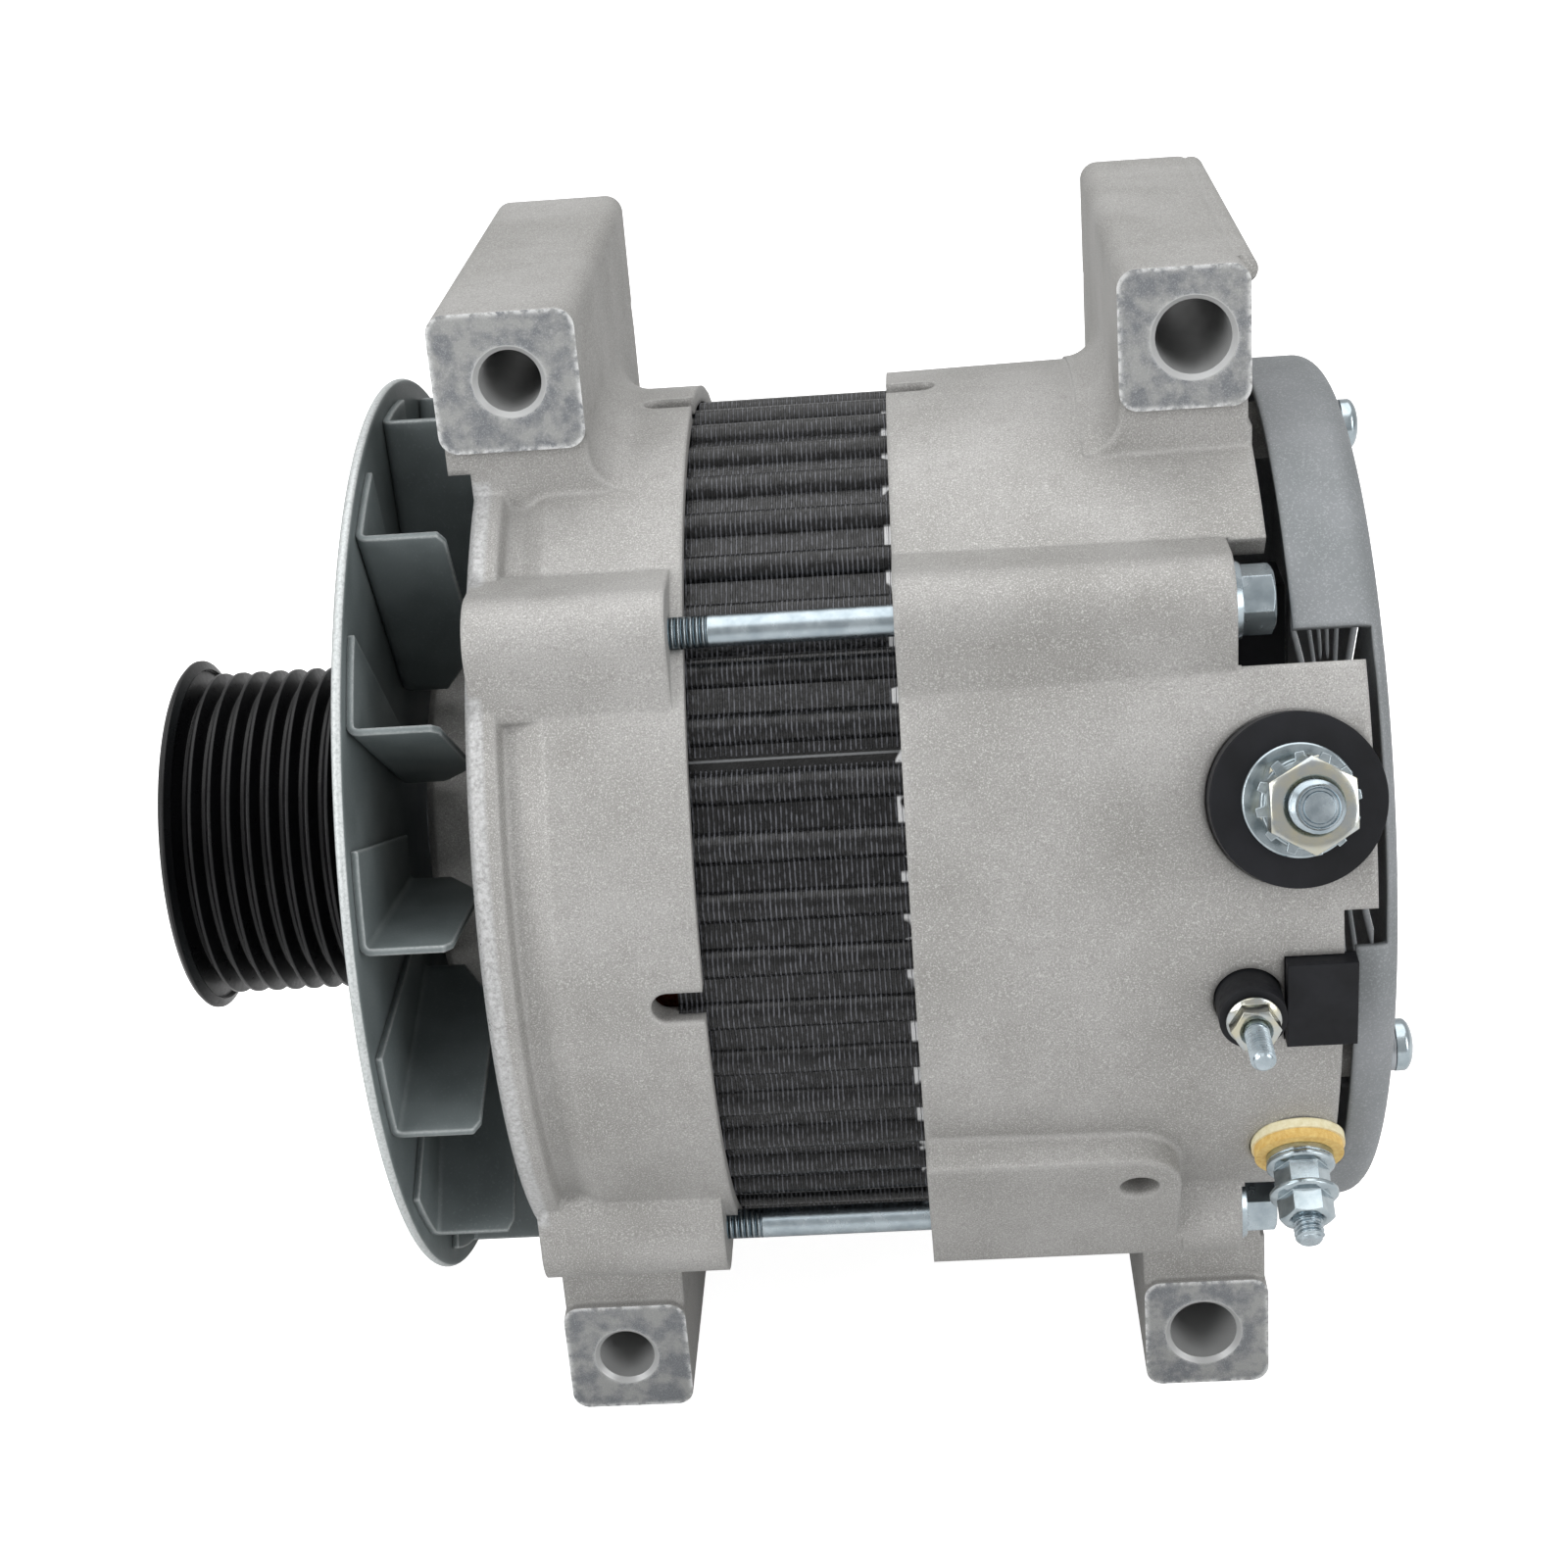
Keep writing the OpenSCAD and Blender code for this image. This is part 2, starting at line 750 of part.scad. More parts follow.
// Bore through a lug, with a chamfer at its near face
module lug_bore(x, up, r) {
    near = up > 0 ? upper_lug_near : lower_lug_near;
    translate([x, -near, up > 0 ? upper_lug_z : -lower_lug_z])
    rotate([-90, 0, 0]) {
        translate([0, 0, -over])
        cylinder(r = r, h = near + mounting_face_y + 2 * over);
        translate([0, 0, -over])
        cylinder(r1 = r + hole_chamfer + over, r2 = r, h = hole_chamfer + over);
    }
}

// Ring of air windows through a bearing wall
module air_windows(r0, r1, x0, x1) {
    step = 360 / window_count;
    for (i = [0 : window_count - 1])
        turned_between(i * step + step / 2 - window_angle / 2, i * step + step / 2 + window_angle / 2)
        band(r0, r1, x0, x1);
}

// Slot with a round end in a frame's rim, open towards the stator
module rim_notch(a, x, direction) {
    outwards(a, x)
    translate([0, 0, frame_inner_radius - 4]) {
        translate([direction * (notch_l - notch_w / 2), 0, 0])
        cylinder(d = notch_w, h = 2 * wall_t + 8);
        translate([direction > 0 ? -over : -notch_l + notch_w / 2, -notch_w / 2, 0])
        cube([notch_l - notch_w / 2 + over, notch_w, 2 * wall_t + 8]);
    }
}

module front_shell_profile() {
    edge = 1;
    step_x = flange_x + front_flange_t;
    polygon([
        [nose_radius, flange_x], [front_flange_radius - edge, flange_x],
        [front_flange_radius, flange_x + edge], [front_flange_radius, step_x - edge / 2],
        [front_groove_radius, step_x + edge / 2], [front_groove_radius, step_x + 3],
        [front_radius, step_x + 7], [front_radius, front_edge_x],
        [frame_inner_radius - over, front_edge_x], [frame_inner_radius - over, flange_x + wall_t],
        [nose_radius, flange_x + wall_t]]);
}

module front_hub_profile() {
    flare = 5;
    polygon([
        [collar_radius + collar_gap, nose_x], [nose_radius - 1.5, nose_x], [nose_radius, nose_x + 1.5],
        [nose_radius, flange_x - flare], [nose_radius + flare, flange_x], [hub_radius, flange_x],
        [hub_radius, front_bearing_end], [front_outer, front_bearing_end],
        [front_outer, front_bearing_x], [collar_radius + collar_gap, front_bearing_x]]);
}

module front_frame() {
    color("#b1aca7")
    difference() {
        union() {
            turned()
            front_shell_profile();
            turned()
            front_hub_profile();
            bolt_bosses(front_boss_radius, flange_x + over, front_edge_x - 2);
            lug(upper_front_x, UPPER_FRONT_REACH, 1, 1, front_radius);
            lug(lower_front_x, LOWER_FRONT_REACH, -1, 1, front_radius);
        }
        turned() {
            band(hub_radius, frame_inner_radius, flange_x + wall_t, core_x);
            band(hub_radius, stator_radius + register_gap, core_x, front_edge_x + over);
            band(0, hub_radius + over, front_bearing_end, front_edge_x + over);
            band(0, front_outer + press_gap, front_bearing_x, front_bearing_end + over);
        }
        air_windows(window_inner, window_outer, flange_x - over, flange_x + wall_t + over);
        for (a = [0, 90, 180, 270])
            rim_notch(a, front_edge_x, -1);
        for (a = BOLT_ANGLES)
            along_shaft(a, bolt_circle, front_edge_x - bolt_thread_l)
            cylinder(r = bolt_radius + tap_gap, h = bolt_thread_l + over);
        for (a = BOLT_ANGLES)
            along_shaft(a, retainer_screw_circle, front_bearing_end - retainer_screw_l)
            cylinder(r = retainer_screw_radius + tap_gap, h = retainer_screw_l + over);
        lug_bore(upper_front_x, 1, front_bolt_hole);
        lug_bore(lower_front_x, -1, front_bolt_hole);
    }
}

// Outside of the rear frame, before it is cut to its different lengths
module rear_shell_profile() {
    longest = rear_end_x + terminal_wall_l;
    polygon([
        [rear_hub_radius, rear_wall_x], [frame_inner_radius - over, rear_wall_x],
        [frame_inner_radius - over, rear_edge_x - over], [rear_edge_radius, rear_edge_x - over],
        [rear_end_radius, rear_end_x], [rear_end_radius, longest],
        [chamber_radius, longest], [chamber_radius, rear_wall_back],
        [rear_hub_radius, rear_wall_back]]);
}

// What is cut off the rear frame's shell behind a station, between two angles
module shell_trim(span, x) {
    turned_between(span[0], span[1])
    band(chamber_radius - post_radius, rear_end_radius + 0.5, x, cover_end);
}

// Flat pad on the lower near side
module bracket_pad() {
    corner = 8;
    outwards(pad_angle, rear_edge_x)
    translate([(pad_length - corner) / 2, (pad_rise - pad_drop) / 2, frame_inner_radius])
    linear_extrude(pad_height - frame_inner_radius + over)
    round_rect(pad_length + corner, pad_rise + pad_drop, corner);
}

// Round bead along the rear upper lug
module lug_bead() {
    bead_radius = 2.4;
    sunk = 0.6;
    translate([
        upper_rear_x + UPPER_REAR_REACH[1] - sunk, mounting_face_y,
        upper_lug_z + upper_lug_h / 2 - bead_radius - 0.2])
    rotate([90, 0, 0])
    cylinder(r = bead_radius, h = mounting_face_y + upper_lug_near - 6);
}

module rear_frame() {
    color("#b1aca7")
    difference() {
        union() {
            turned()
            rear_shell_profile();
            ring(hub_hole, rear_hub_radius, rear_wall_x, rear_hub_end);
            bolt_bosses(rear_boss_radius, rear_edge_x - over, bolt_seat_x + over / 2);
            bracket_pad();
            lug(upper_rear_x, UPPER_REAR_REACH, 1, -1, rear_end_radius);
            lug(lower_rear_x, LOWER_REAR_REACH, -1, -1, rear_end_radius);
            lug_bead();
        }
        turned() {
            band(0, stator_radius + register_gap, rear_edge_x - pad_length, core_end);
            band(0, frame_inner_radius, core_end - over, rear_wall_x);
            band(rear_hub_radius, chamber_radius, rear_wall_back, cover_end);
            band(0, rear_outer + press_gap, rear_wall_x - over, rear_bearing_end);
            band(frame_inner_radius - over, pad_height + 20, rear_edge_x - pad_length, rear_edge_x);
        }
        shell_trim([TERMINAL_WALL[1], SIDE_WALL[0] + 360.5], rear_end_x);
        shell_trim([SIDE_WALL[0], SIDE_WALL[1] + 0.01], rear_end_x + side_wall_l);
        for (a = BOLT_ANGLES)
            turned_between(a - pocket_angle, a + pocket_angle)
            band(chamber_radius - post_radius, bolt_circle + 2 * rear_boss_radius, bolt_seat_x, cover_end);
        air_windows(rear_window_inner, rear_window_outer, rear_wall_x - over, rear_wall_back + over);
        for (a = [90, 270])
            rim_notch(a, rear_edge_x, 1);
        for (a = BOLT_ANGLES)
            along_shaft(a, bolt_circle, rear_edge_x - over)
            cylinder(r = bolt_radius + bolt_gap, h = bolt_seat_x - rear_edge_x + 2 * over);
        lug_bore(upper_rear_x, 1, rear_bolt_hole);
        lug_bore(lower_rear_x, -1, rear_bolt_hole);
        outwards(pad_angle, rear_edge_x)
        translate([-over, -pad_drop - 2 * over, pad_height])
        cube([pad_length + 2 * over, pad_rise + pad_drop + 3 * over, 2 * bolt_flange_radius]);
        outwards(pad_angle, rear_edge_x + pad_length - pad_hole_setback)
        translate([0, 0, pad_height - pad_hole_depth])
        cylinder(r = pad_hole_radius, h = pad_hole_depth + over);
        terminal_holes();
        wall_screw_holes();
    }
    color("#b1aca7")
    cover_posts();
}

// Openings in the shell for the three terminals
module terminal_holes() {
    spot_room = 20;
    outwards(battery_angle, battery_x) {
        translate([0, 0, spot_plane])
        cylinder(r = battery_disc_radius + 0.3, h = spot_room);
        translate([0, 0, frame_inner_radius - 4])
        cylinder(r = insulator_neck + 0.2, h = spot_room);
    }
    outwards(signal_angle, signal_x) {
        translate([0, 0, spot_plane])
        cylinder(r = signal_ring_radius + 0.3, h = spot_room);
        translate([0, 0, frame_inner_radius - 4])
        cylinder(r = signal_stud_radius + 1.5, h = spot_room);
    }
    on_ground_stud()
    translate([0, 0, frame_inner_radius - 4])
    cylinder(r = ground_stud_radius + tap_gap, h = spot_room);
    on_ground_stud()
    translate([0, 0, spot_plane])
    cylinder(r = fibre_radius + 0.3, h = spot_room);
    outwards(signal_angle, 0)
    translate([block_x - 0.2, block_z - block_w / 2 - 0.2, spot_plane])
    cube([block_end - block_x + 0.4, block_w + 0.4, spot_room]);
}

// Tapped holes in the rear bearing wall
module wall_screw_holes() {
    for (a = concat(POSITIVE_SCREWS, NEGATIVE_SCREWS))
        wall_tap(a, plate_screw_circle);
    for (side = [-1, 1]) {
        wall_tap(270 + side * regulator_screw_angle, wall_screw_circle);
        wall_tap(90 + side * holder_screw_angle, wall_screw_circle);
    }
}

module wall_tap(a, r) {
    along_shaft(a, r, rear_wall_back - screw_bite)
    cylinder(r = small_screw_radius + tap_gap, h = screw_bite + over);
}

// Posts that carry the rear cover
module cover_posts() {
    post_end = cover_end - cover_t;
    for (a = SCREW_ANGLES)
        along_shaft(a, cover_screw_circle, rear_wall_back - 2)
        difference() {
            cylinder(r = post_radius, h = post_end - rear_wall_back + 2);
            translate([0, 0, post_end - rear_wall_back - 12])
            cylinder(r = cover_screw_radius + tap_gap, h = 20);
        }
}

// Stator

module stator_core() {
    rib_circle = 2.9;
    color("#232325")
    translate([core_x, 0, 0])
    rotate([0, 90, 0])
    linear_extrude(core_end - core_x)
    difference() {
        union() {
            circle(stator_radius - rib_depth);
            for (i = [0 : slot_count - 1])
                rotate(-90 - rib_start - i * 360 / slot_count)
                translate([stator_radius - rib_circle, 0])
                circle(rib_circle);
        }
        circle(rotor_radius + air_gap);
        for (i = [0 : slot_count - 1])
            rotate(i * 360 / slot_count)
            translate([rotor_radius, -slot_width / 2])
            square([slot_depth + air_gap, slot_width]);
    }
}

// Coil ends and the bars that fill the slots
module stator_winding() {
    inner = rotor_radius + air_gap + 2;
    outer = rotor_radius + air_gap + slot_depth - 0.6;
    bar_gap = 0.3;
    round_end = 5;
    color("#8a4a22") {
        for (side = [-1, 1])
            turned()
            mirrored_station(side) {
                band(inner, outer + 3, core_half + bar_gap, core_half + winding_overhang - round_end);
                translate([(inner + outer + 3) / 2, core_half + winding_overhang - round_end])
                intersection() {
                    scale([(outer + 3 - inner) / 2, round_end])
                    circle(1);
                    translate([-20, 0])
                    square([40, 20]);
                }
            }
        translate([core_x - bar_gap - over, 0, 0])
        rotate([0, 90, 0])
        linear_extrude(core_end - core_x + 2 * bar_gap + 2 * over)
        for (i = [0 : slot_count - 1])
            rotate(i * 360 / slot_count)
            translate([inner, -slot_width / 2 + bar_gap])
            square([outer - inner, slot_width - 2 * bar_gap]);
    }
}

// Places a profile's stations on one side of the rotor's middle
module mirrored_station(side) {
    translate([0, rotor_mid])
    scale([1, side])
    children();
}

// Through bolts with flanged hexagonal heads
module through_bolts() {
    flange_h = 1.2;
    color("#aeb9c0")
    for (a = BOLT_ANGLES)
        along_shaft(a, bolt_circle, bolt_seat_x) {
            translate([0, 0, front_edge_x - bolt_thread_l + over - bolt_seat_x])
            cylinder(r = bolt_radius, h = bolt_seat_x - front_edge_x + bolt_thread_l);
            cylinder(r1 = bolt_flange_radius, r2 = bolt_flange_radius - 0.6, h = flange_h);
            rotate(15)
            hex_prism(bolt_head_flats, flange_h + bolt_head_h);
        }
}

// Bearings

// Outer ring with its ball race
module bearing_outer(outer, pitch, ball, x0, x1) {
    shoulder = pitch + ball * (1 - race_depth * 2);
    turned()
    difference() {
        band(shoulder, outer, x0, x1);
        translate([pitch, (x0 + x1) / 2])
        circle(ball + ball_gap);
    }
}

// Inner ring with its ball race
module bearing_inner(bore, pitch, ball, x0, x1) {
    shoulder = pitch - ball * (1 - race_depth * 2);
    turned()
    difference() {
        band(bore + press_gap, shoulder, x0, x1);
        translate([pitch, (x0 + x1) / 2])
        circle(ball + ball_gap);
    }
}

module bearing_balls(pitch, ball, x) {
    for (i = [0 : ball_count - 1])
        at_angle(i * 360 / ball_count)
        translate([x, -pitch, 0])
        sphere(ball);
}

module bearing_cage(pitch, ball, x) {
    half_t = ball * cage_half_t;
    half_w = ball + cage_margin;
    pocket_half = asin((ball + ball_gap) / pitch);
    step = 360 / ball_count;
    difference() {
        ring(pitch - half_t, pitch + half_t, x - half_w, x + half_w);
        for (i = [0 : ball_count - 1])
            turned_between(i * step - pocket_half, i * step + pocket_half)
            band(pitch - ball, pitch + ball, x - ball - ball_gap, x + ball + ball_gap);
    }
}

module front_bearing_outer_ring() {
    color("#c9ccd0")
    bearing_outer(front_outer, front_pitch, front_ball, front_bearing_x, front_bearing_end);
}

module front_bearing_inner_ring() {
    color("#c9ccd0")
    bearing_inner(front_bore, front_pitch, front_ball, front_bearing_x, front_bearing_end);
}

module front_bearing_balls() {
    color("#d8dadd")
    bearing_balls(front_pitch, front_ball, (front_bearing_x + front_bearing_end) / 2);
}

module front_bearing_cage() {
    color("#7d6a4a")
    bearing_cage(front_pitch, front_ball, (front_bearing_x + front_bearing_end) / 2);
}

module rear_bearing_outer_ring() {
    color("#c9ccd0")
    bearing_outer(rear_outer, rear_pitch, rear_ball, rear_bearing_x, rear_bearing_end);
}

module rear_bearing_inner_ring() {
    color("#c9ccd0")
    bearing_inner(rear_bore, rear_pitch, rear_ball, rear_bearing_x, rear_bearing_end);
}

module rear_bearing_balls() {
    color("#d8dadd")
    bearing_balls(rear_pitch, rear_ball, (rear_bearing_x + rear_bearing_end) / 2);
}

module rear_bearing_cage() {
    color("#7d6a4a")
    bearing_cage(rear_pitch, rear_ball, (rear_bearing_x + rear_bearing_end) / 2);
}

// Plate that holds the front bearing in its nose
module bearing_retainer() {
    color("#9ea3a8")
    difference() {
        ring(retainer_hole, retainer_radius, front_bearing_end, front_bearing_end + retainer_t);
        for (a = BOLT_ANGLES)
            along_shaft(a, retainer_screw_circle, front_bearing_end - over)
            cylinder(r = retainer_screw_radius + tap_gap, h = retainer_t + 2 * over);
    }
}

module retainer_screws() {
    color("#aeb9c0")
    for (a = BOLT_ANGLES)
        along_shaft(a, retainer_screw_circle, front_bearing_end + retainer_t)
        pan_screw(retainer_screw_radius, retainer_head_radius, retainer_head_h, retainer_screw_l);
}

// Shaft and belt drive

module shaft() {
    color("#b9bcc0")
    difference() {
        turned()
        polygon([
            [0, shaft_end_x], [thread_radius - 1, shaft_end_x], [thread_radius, shaft_end_x + 1],
            [thread_radius, web_x + over], [drive_radius, web_x + over],
            [drive_radius, front_bearing_x + seat_relief], [front_bore, front_bearing_x + seat_relief],
            [front_bore, front_bearing_end], [shoulder_radius, front_bearing_end],
            [shoulder_radius, pole_x], [pole_seat_radius, pole_x],
            [pole_seat_radius, shaft_step_x], [tail_radius, shaft_step_x],
            [tail_radius, rear_bearing_x], [rear_bore, rear_bearing_x],
            [rear_bore, rear_bearing_end], [sleeve_bore, rear_bearing_end],
            [sleeve_bore, tail_end - 0.8], [sleeve_bore - 0.8, tail_end], [0, tail_end]]);
        key_room(0);
    }
}

// Block of the key, grown by a clearance
module key_room(grow) {
    translate([key_x - grow, -key_size / 2 - grow, drive_radius - key_size * key_sunk - grow])
    cube([key_length + 2 * grow, key_size + 2 * grow, key_size + 2 * grow]);
}

module pulley_key() {
    color("#8d9196")
    key_room(-press_gap);
}

// One belt groove as a profile that is cut away
module groove_profile(x) {
    mouth = rib_pitch / 2 - 0.25;
    translate([pulley_radius, x])
    polygon([
        [over, -mouth - over * tan(groove_angle_half)], [-groove_depth, -groove_bottom],
        [-groove_depth, groove_bottom], [over, mouth + over * tan(groove_angle_half)]]);
}

module pulley_profile() {
    rim = pulley_radius + flange_rise;
    slope = 1.2;
    round_off = 0.7;
    difference() {
        polygon([
            [drive_radius + press_gap, web_x], [pulley_recess_radius, web_x],
            [pulley_recess_radius, -pulley_half], [rim - round_off, -pulley_half],
            [rim, -pulley_half + round_off], [rim, -pulley_half + flange_t - 0.4],
            [pulley_radius, -pulley_half + flange_t + slope], [pulley_radius, pulley_half - flange_t - slope],
            [rim, pulley_half - flange_t + 0.4], [rim, pulley_half - round_off],
            [rim - round_off, pulley_half], [clamp_radius, pulley_half],
            [clamp_radius, fan_x], [drive_radius + press_gap, fan_x]]);
        for (i = [0 : belt_ribs - 1])
            groove_profile((i - (belt_ribs - 1) / 2) * rib_pitch);
    }
}

module pulley() {
    color("#151517")
    difference() {
        turned()
        pulley_profile();
        key_room(0);
    }
}

module pulley_nut() {
    color("#aeb9c0")
    translate([nut_x + nut_h, 0, 0])
    rotate([0, -90, 0])
    hex_nut(nut_flats, nut_h, thread_radius + press_gap);
}

module pulley_spring_washer() {
    color("#8d9196")
    ring(thread_radius + 0.3, spring_washer_radius, web_x - spring_washer_t, web_x);
}

module fan_plate() {
    color("#6e7677")
    turned() {
        band(drive_radius + press_gap, fan_radius - fan_plate_t / 2, fan_x, fan_back);
        translate([fan_radius - fan_plate_t / 2, fan_x + fan_plate_t / 2])
        circle(fan_plate_t / 2);
    }
}

// Bent section of a blade, as an outline of [x, z] points: its foot lies on the plate
module blade_section() {
    inner_bend = bend_radius - blade_t;
    translate([fan_back + bend_radius, bend_radius - blade_t / 2])
    difference() {
        intersection() {
            circle(bend_radius);
            translate([-2 * bend_radius, -2 * bend_radius])
            square(2 * bend_radius);
        }
        circle(inner_bend);
    }
    translate([fan_back + bend_radius - bend_lap, -blade_t / 2])
    square([blade_reach - bend_radius + bend_lap, blade_t]);
    translate([fan_back, bend_radius - blade_t / 2 - bend_lap])
    square([blade_t, 1]);
}

// Outline of a blade seen along its sheet
module blade_outline() {
    corner_radius = 50;
    inner_x = 8.4;
    tip_corner = 2;
    free_edge = fan_back + blade_reach;
    polygon([
        [fan_back - over, -blade_tip_radius], [free_edge - tip_corner, -blade_tip_radius],
        [free_edge, -blade_tip_radius + tip_corner], [free_edge, -corner_radius],
        [fan_back + inner_x, -blade_root_radius], [fan_back - over, -blade_root_radius]]);
    translate([free_edge - tip_corner, -blade_tip_radius + tip_corner])
    circle(tip_corner);
}

// One blade with its foot on the plate
module blade() {
    foot_inset = 0.5;
    foot_z = bend_radius - blade_t / 2;
    foot_in = blade_root_radius + foot_inset;
    foot_out = blade_tip_radius - foot_inset;
    foot_corners = [[foot_out, foot_angle / 2], [foot_out, foot_angle], [foot_in, foot_angle]];
    intersection() {
        between_y(-blade_tip_radius - over, -blade_root_radius + over)
        blade_section();
        translate([0, 0, -blade_t])
        linear_extrude(2 * bend_radius)
        blade_outline();
    }
    translate([fan_back, 0, 0])
    rotate([0, 90, 0])
    linear_extrude(blade_t)
    polygon(concat([[-foot_z, -foot_in], [-foot_z, -foot_out]],
        [for (q = foot_corners) [-q[0] * sin(q[1]), -q[0] * cos(q[1])]]));
}

module fan_blades() {
    color("#5c6465")
    for (i = [0 : blade_count - 1])
        at_angle(blade_start + i * 360 / blade_count)
        blade();
}

module spacer_collar() {
    color("#8d9196")
    ring(drive_radius + press_gap, collar_radius, fan_back, front_bearing_x);
}

// Rotor

// One pole piece: half core, disc and tapered claws, with the disc at station 0
module pole_piece() {
    reach = 2 * rotor_half_length - claw_tip_gap;
    claw_base = rotor_radius - claw_root_t - 6;
    ring(pole_seat_radius + press_gap, pole_core_radius, 0, rotor_half_length);
    ring(pole_seat_radius + press_gap, rotor_radius - claw_root_t + 0.6, 0, pole_disc_t);
    intersection() {
        turned()
        polygon([
            [claw_base, 0], [rotor_radius - 1.5, 0], [rotor_radius, 1.5], [rotor_radius, reach],
            [rotor_radius - claw_tip_t, reach], [rotor_radius - claw_root_t, pole_disc_t - 2],
            [claw_base, pole_disc_t - 3]]);
        for (i = [0 : claw_count - 1])
            at_angle(i * 360 / claw_count)
            rotate([90, 0, 0])
            linear_extrude(rotor_radius + over)
            claw_outline(reach);
    }
}

// Outline of a claw seen along its radius
module claw_outline(reach) {
    root = rotor_radius * sin(claw_root_angle / 2);
    tip = rotor_radius * sin(claw_tip_angle / 2);
    polygon([[-over, -root], [pole_disc_t, -root], [reach, -tip], [reach, tip], [pole_disc_t, root], [-over, root]]);
}

module front_pole_piece() {
    color("#4a4c4f")
    translate([pole_x, 0, 0])
    pole_piece();
}

module rear_pole_piece() {
    color("#4a4c4f")
    translate([pole_end, 0, 0])
    rotate([180 / claw_count, 0, 0])
    mirror([1, 0, 0])
    pole_piece();
}

module field_bobbin() {
    color("#2f3a2f")
    turned() {
        band(bobbin_inner, bobbin_inner + bobbin_t, coil_x, coil_end);
        band(bobbin_inner, coil_outer, coil_x, coil_x + bobbin_t);
        band(bobbin_inner, coil_outer, coil_end - bobbin_t, coil_end);
    }
}

module field_coil() {
    color("#a5561f")
    ring(bobbin_inner + bobbin_t + press_gap, coil_outer - 0.5,
        coil_x + bobbin_t + press_gap, coil_end - bobbin_t - press_gap);
}

module slip_ring_sleeve() {
    color("#3a2a1c")
    ring(sleeve_bore + press_gap, sleeve_radius, sleeve_x, sleeve_end);
}

module slip_rings() {
    color("#b87333")
    for (x = [first_ring_x, second_ring_x])
        ring(sleeve_radius + press_gap, slip_ring_radius, x, x + slip_ring_w);
}

// Brushes

// Brush that bears on the ring which starts at station x
module brush(x) {
    difference() {
        translate([x + slip_ring_w / 2 - brush_w / 2, -brush_depth / 2, slip_ring_radius * 0.9])
        cube([brush_w, brush_depth, brush_top - slip_ring_radius * 0.9]);
        translate([x - over, 0, 0])
        rotate([0, 90, 0])
        cylinder(r = brush_bottom, h = slip_ring_w + 2 * over);
    }
}

module front_brush() {
    color("#3b3b3d")
    brush(first_ring_x);
}

module rear_brush() {
    color("#3b3b3d")
    brush(second_ring_x);
}

// Channel in the holder for one brush and its spring
module brush_channel(x) {
    w = brush_w + 2 * brush_gap;
    d = brush_depth + 2 * brush_gap;
    translate([x + slip_ring_w / 2 - w / 2, -d / 2, holder_bottom - over])
    cube([w, d, brush_top + spring_room - holder_bottom + over]);
}

module brush_holder() {
    color("#26262a")
    difference() {
        union() {
            translate([holder_x, -holder_half_y, holder_bottom])
            cube([holder_end - holder_x, 2 * holder_half_y, holder_top - holder_bottom]);
            // Foot that stands on the bearing wall
            translate([rear_wall_back, -holder_foot_w / 2, holder_ears_z])
            cube([holder_foot_t, holder_foot_w, holder_foot_end - holder_ears_z]);
            translate([rear_wall_back, -holder_half_y, holder_foot_z])
            cube([holder_foot_t, 2 * holder_half_y, holder_foot_end - holder_foot_z]);
            translate([rear_wall_back, -holder_half_y, holder_foot_z])
            cube([holder_x - rear_wall_back + over, 2 * holder_half_y, holder_top - holder_foot_z]);
        }
        brush_channel(first_ring_x);
        brush_channel(second_ring_x);
        for (side = [-1, 1])
            along_shaft(90 + side * holder_screw_angle, wall_screw_circle, rear_wall_back - over)
            cylinder(r = small_screw_radius + 0.3, h = holder_foot_t + 2 * over);
    }
}

module brush_holder_screws() {
    color("#aeb9c0")
    for (side = [-1, 1])
        along_shaft(90 + side * holder_screw_angle, wall_screw_circle, rear_wall_back + holder_foot_t)
        pan_screw(small_screw_radius, small_head_radius, small_head_h, holder_foot_t + screw_bite - 0.5);
}

// Points of one ring of a wire that winds up Z
function wire_ring(turn, rise) = [
    for (i = [0 : 5])
        let (a = i * 60, r = spring_radius + spring_wire * cos(a))
        [r * cos(turn), r * sin(turn), rise + spring_wire * sin(a)]];

// Coil spring that fills a height, made of straight lengths of wire
module coil_spring(height) {
    per_turn = 12;
    rings = spring_turns * per_turn;
    room = height - 2 * spring_wire - 0.1;
    points = [for (k = [0 : rings]) each wire_ring(k * 360 / per_turn, spring_wire + 0.05 + room * k / rings)];
    sides = [for (k = [0 : rings - 1], i = [0 : 5])
        [k * 6 + i, k * 6 + (i + 1) % 6, (k + 1) * 6 + (i + 1) % 6, (k + 1) * 6 + i]];
    polyhedron(points, concat([[for (i = [5 : -1 : 0]) i]], sides, [[for (i = [0 : 5]) rings * 6 + i]]));
}

// Spring that pushes a brush onto the ring which starts at station x
module brush_spring(x) {
    translate([x + slip_ring_w / 2, 0, brush_top])
    coil_spring(spring_room);
}

module front_brush_spring() {
    color("#c2c6ca")
    brush_spring(first_ring_x);
}

module rear_brush_spring() {
    color("#c2c6ca")
    brush_spring(second_ring_x);
}

// Rectifier and regulator

// Flat plate that follows the bearing wall between two angles, with seats for its diodes
module rectifier_plate(span, x, screws, diodes) {
    difference() {
        turned_between(span[0], span[1])
        band(plate_inner, plate_outer, x, x + plate_t);
        for (a = screws)
            along_shaft(a, plate_screw_circle, x - over)
            cylinder(r = small_screw_radius + 0.3, h = plate_t + 2 * over);
        for (a = diodes)
            along_shaft(a, diode_circle, x - over)
            cylinder(r = diode_radius + press_gap, h = plate_t + 2 * over);
    }
}

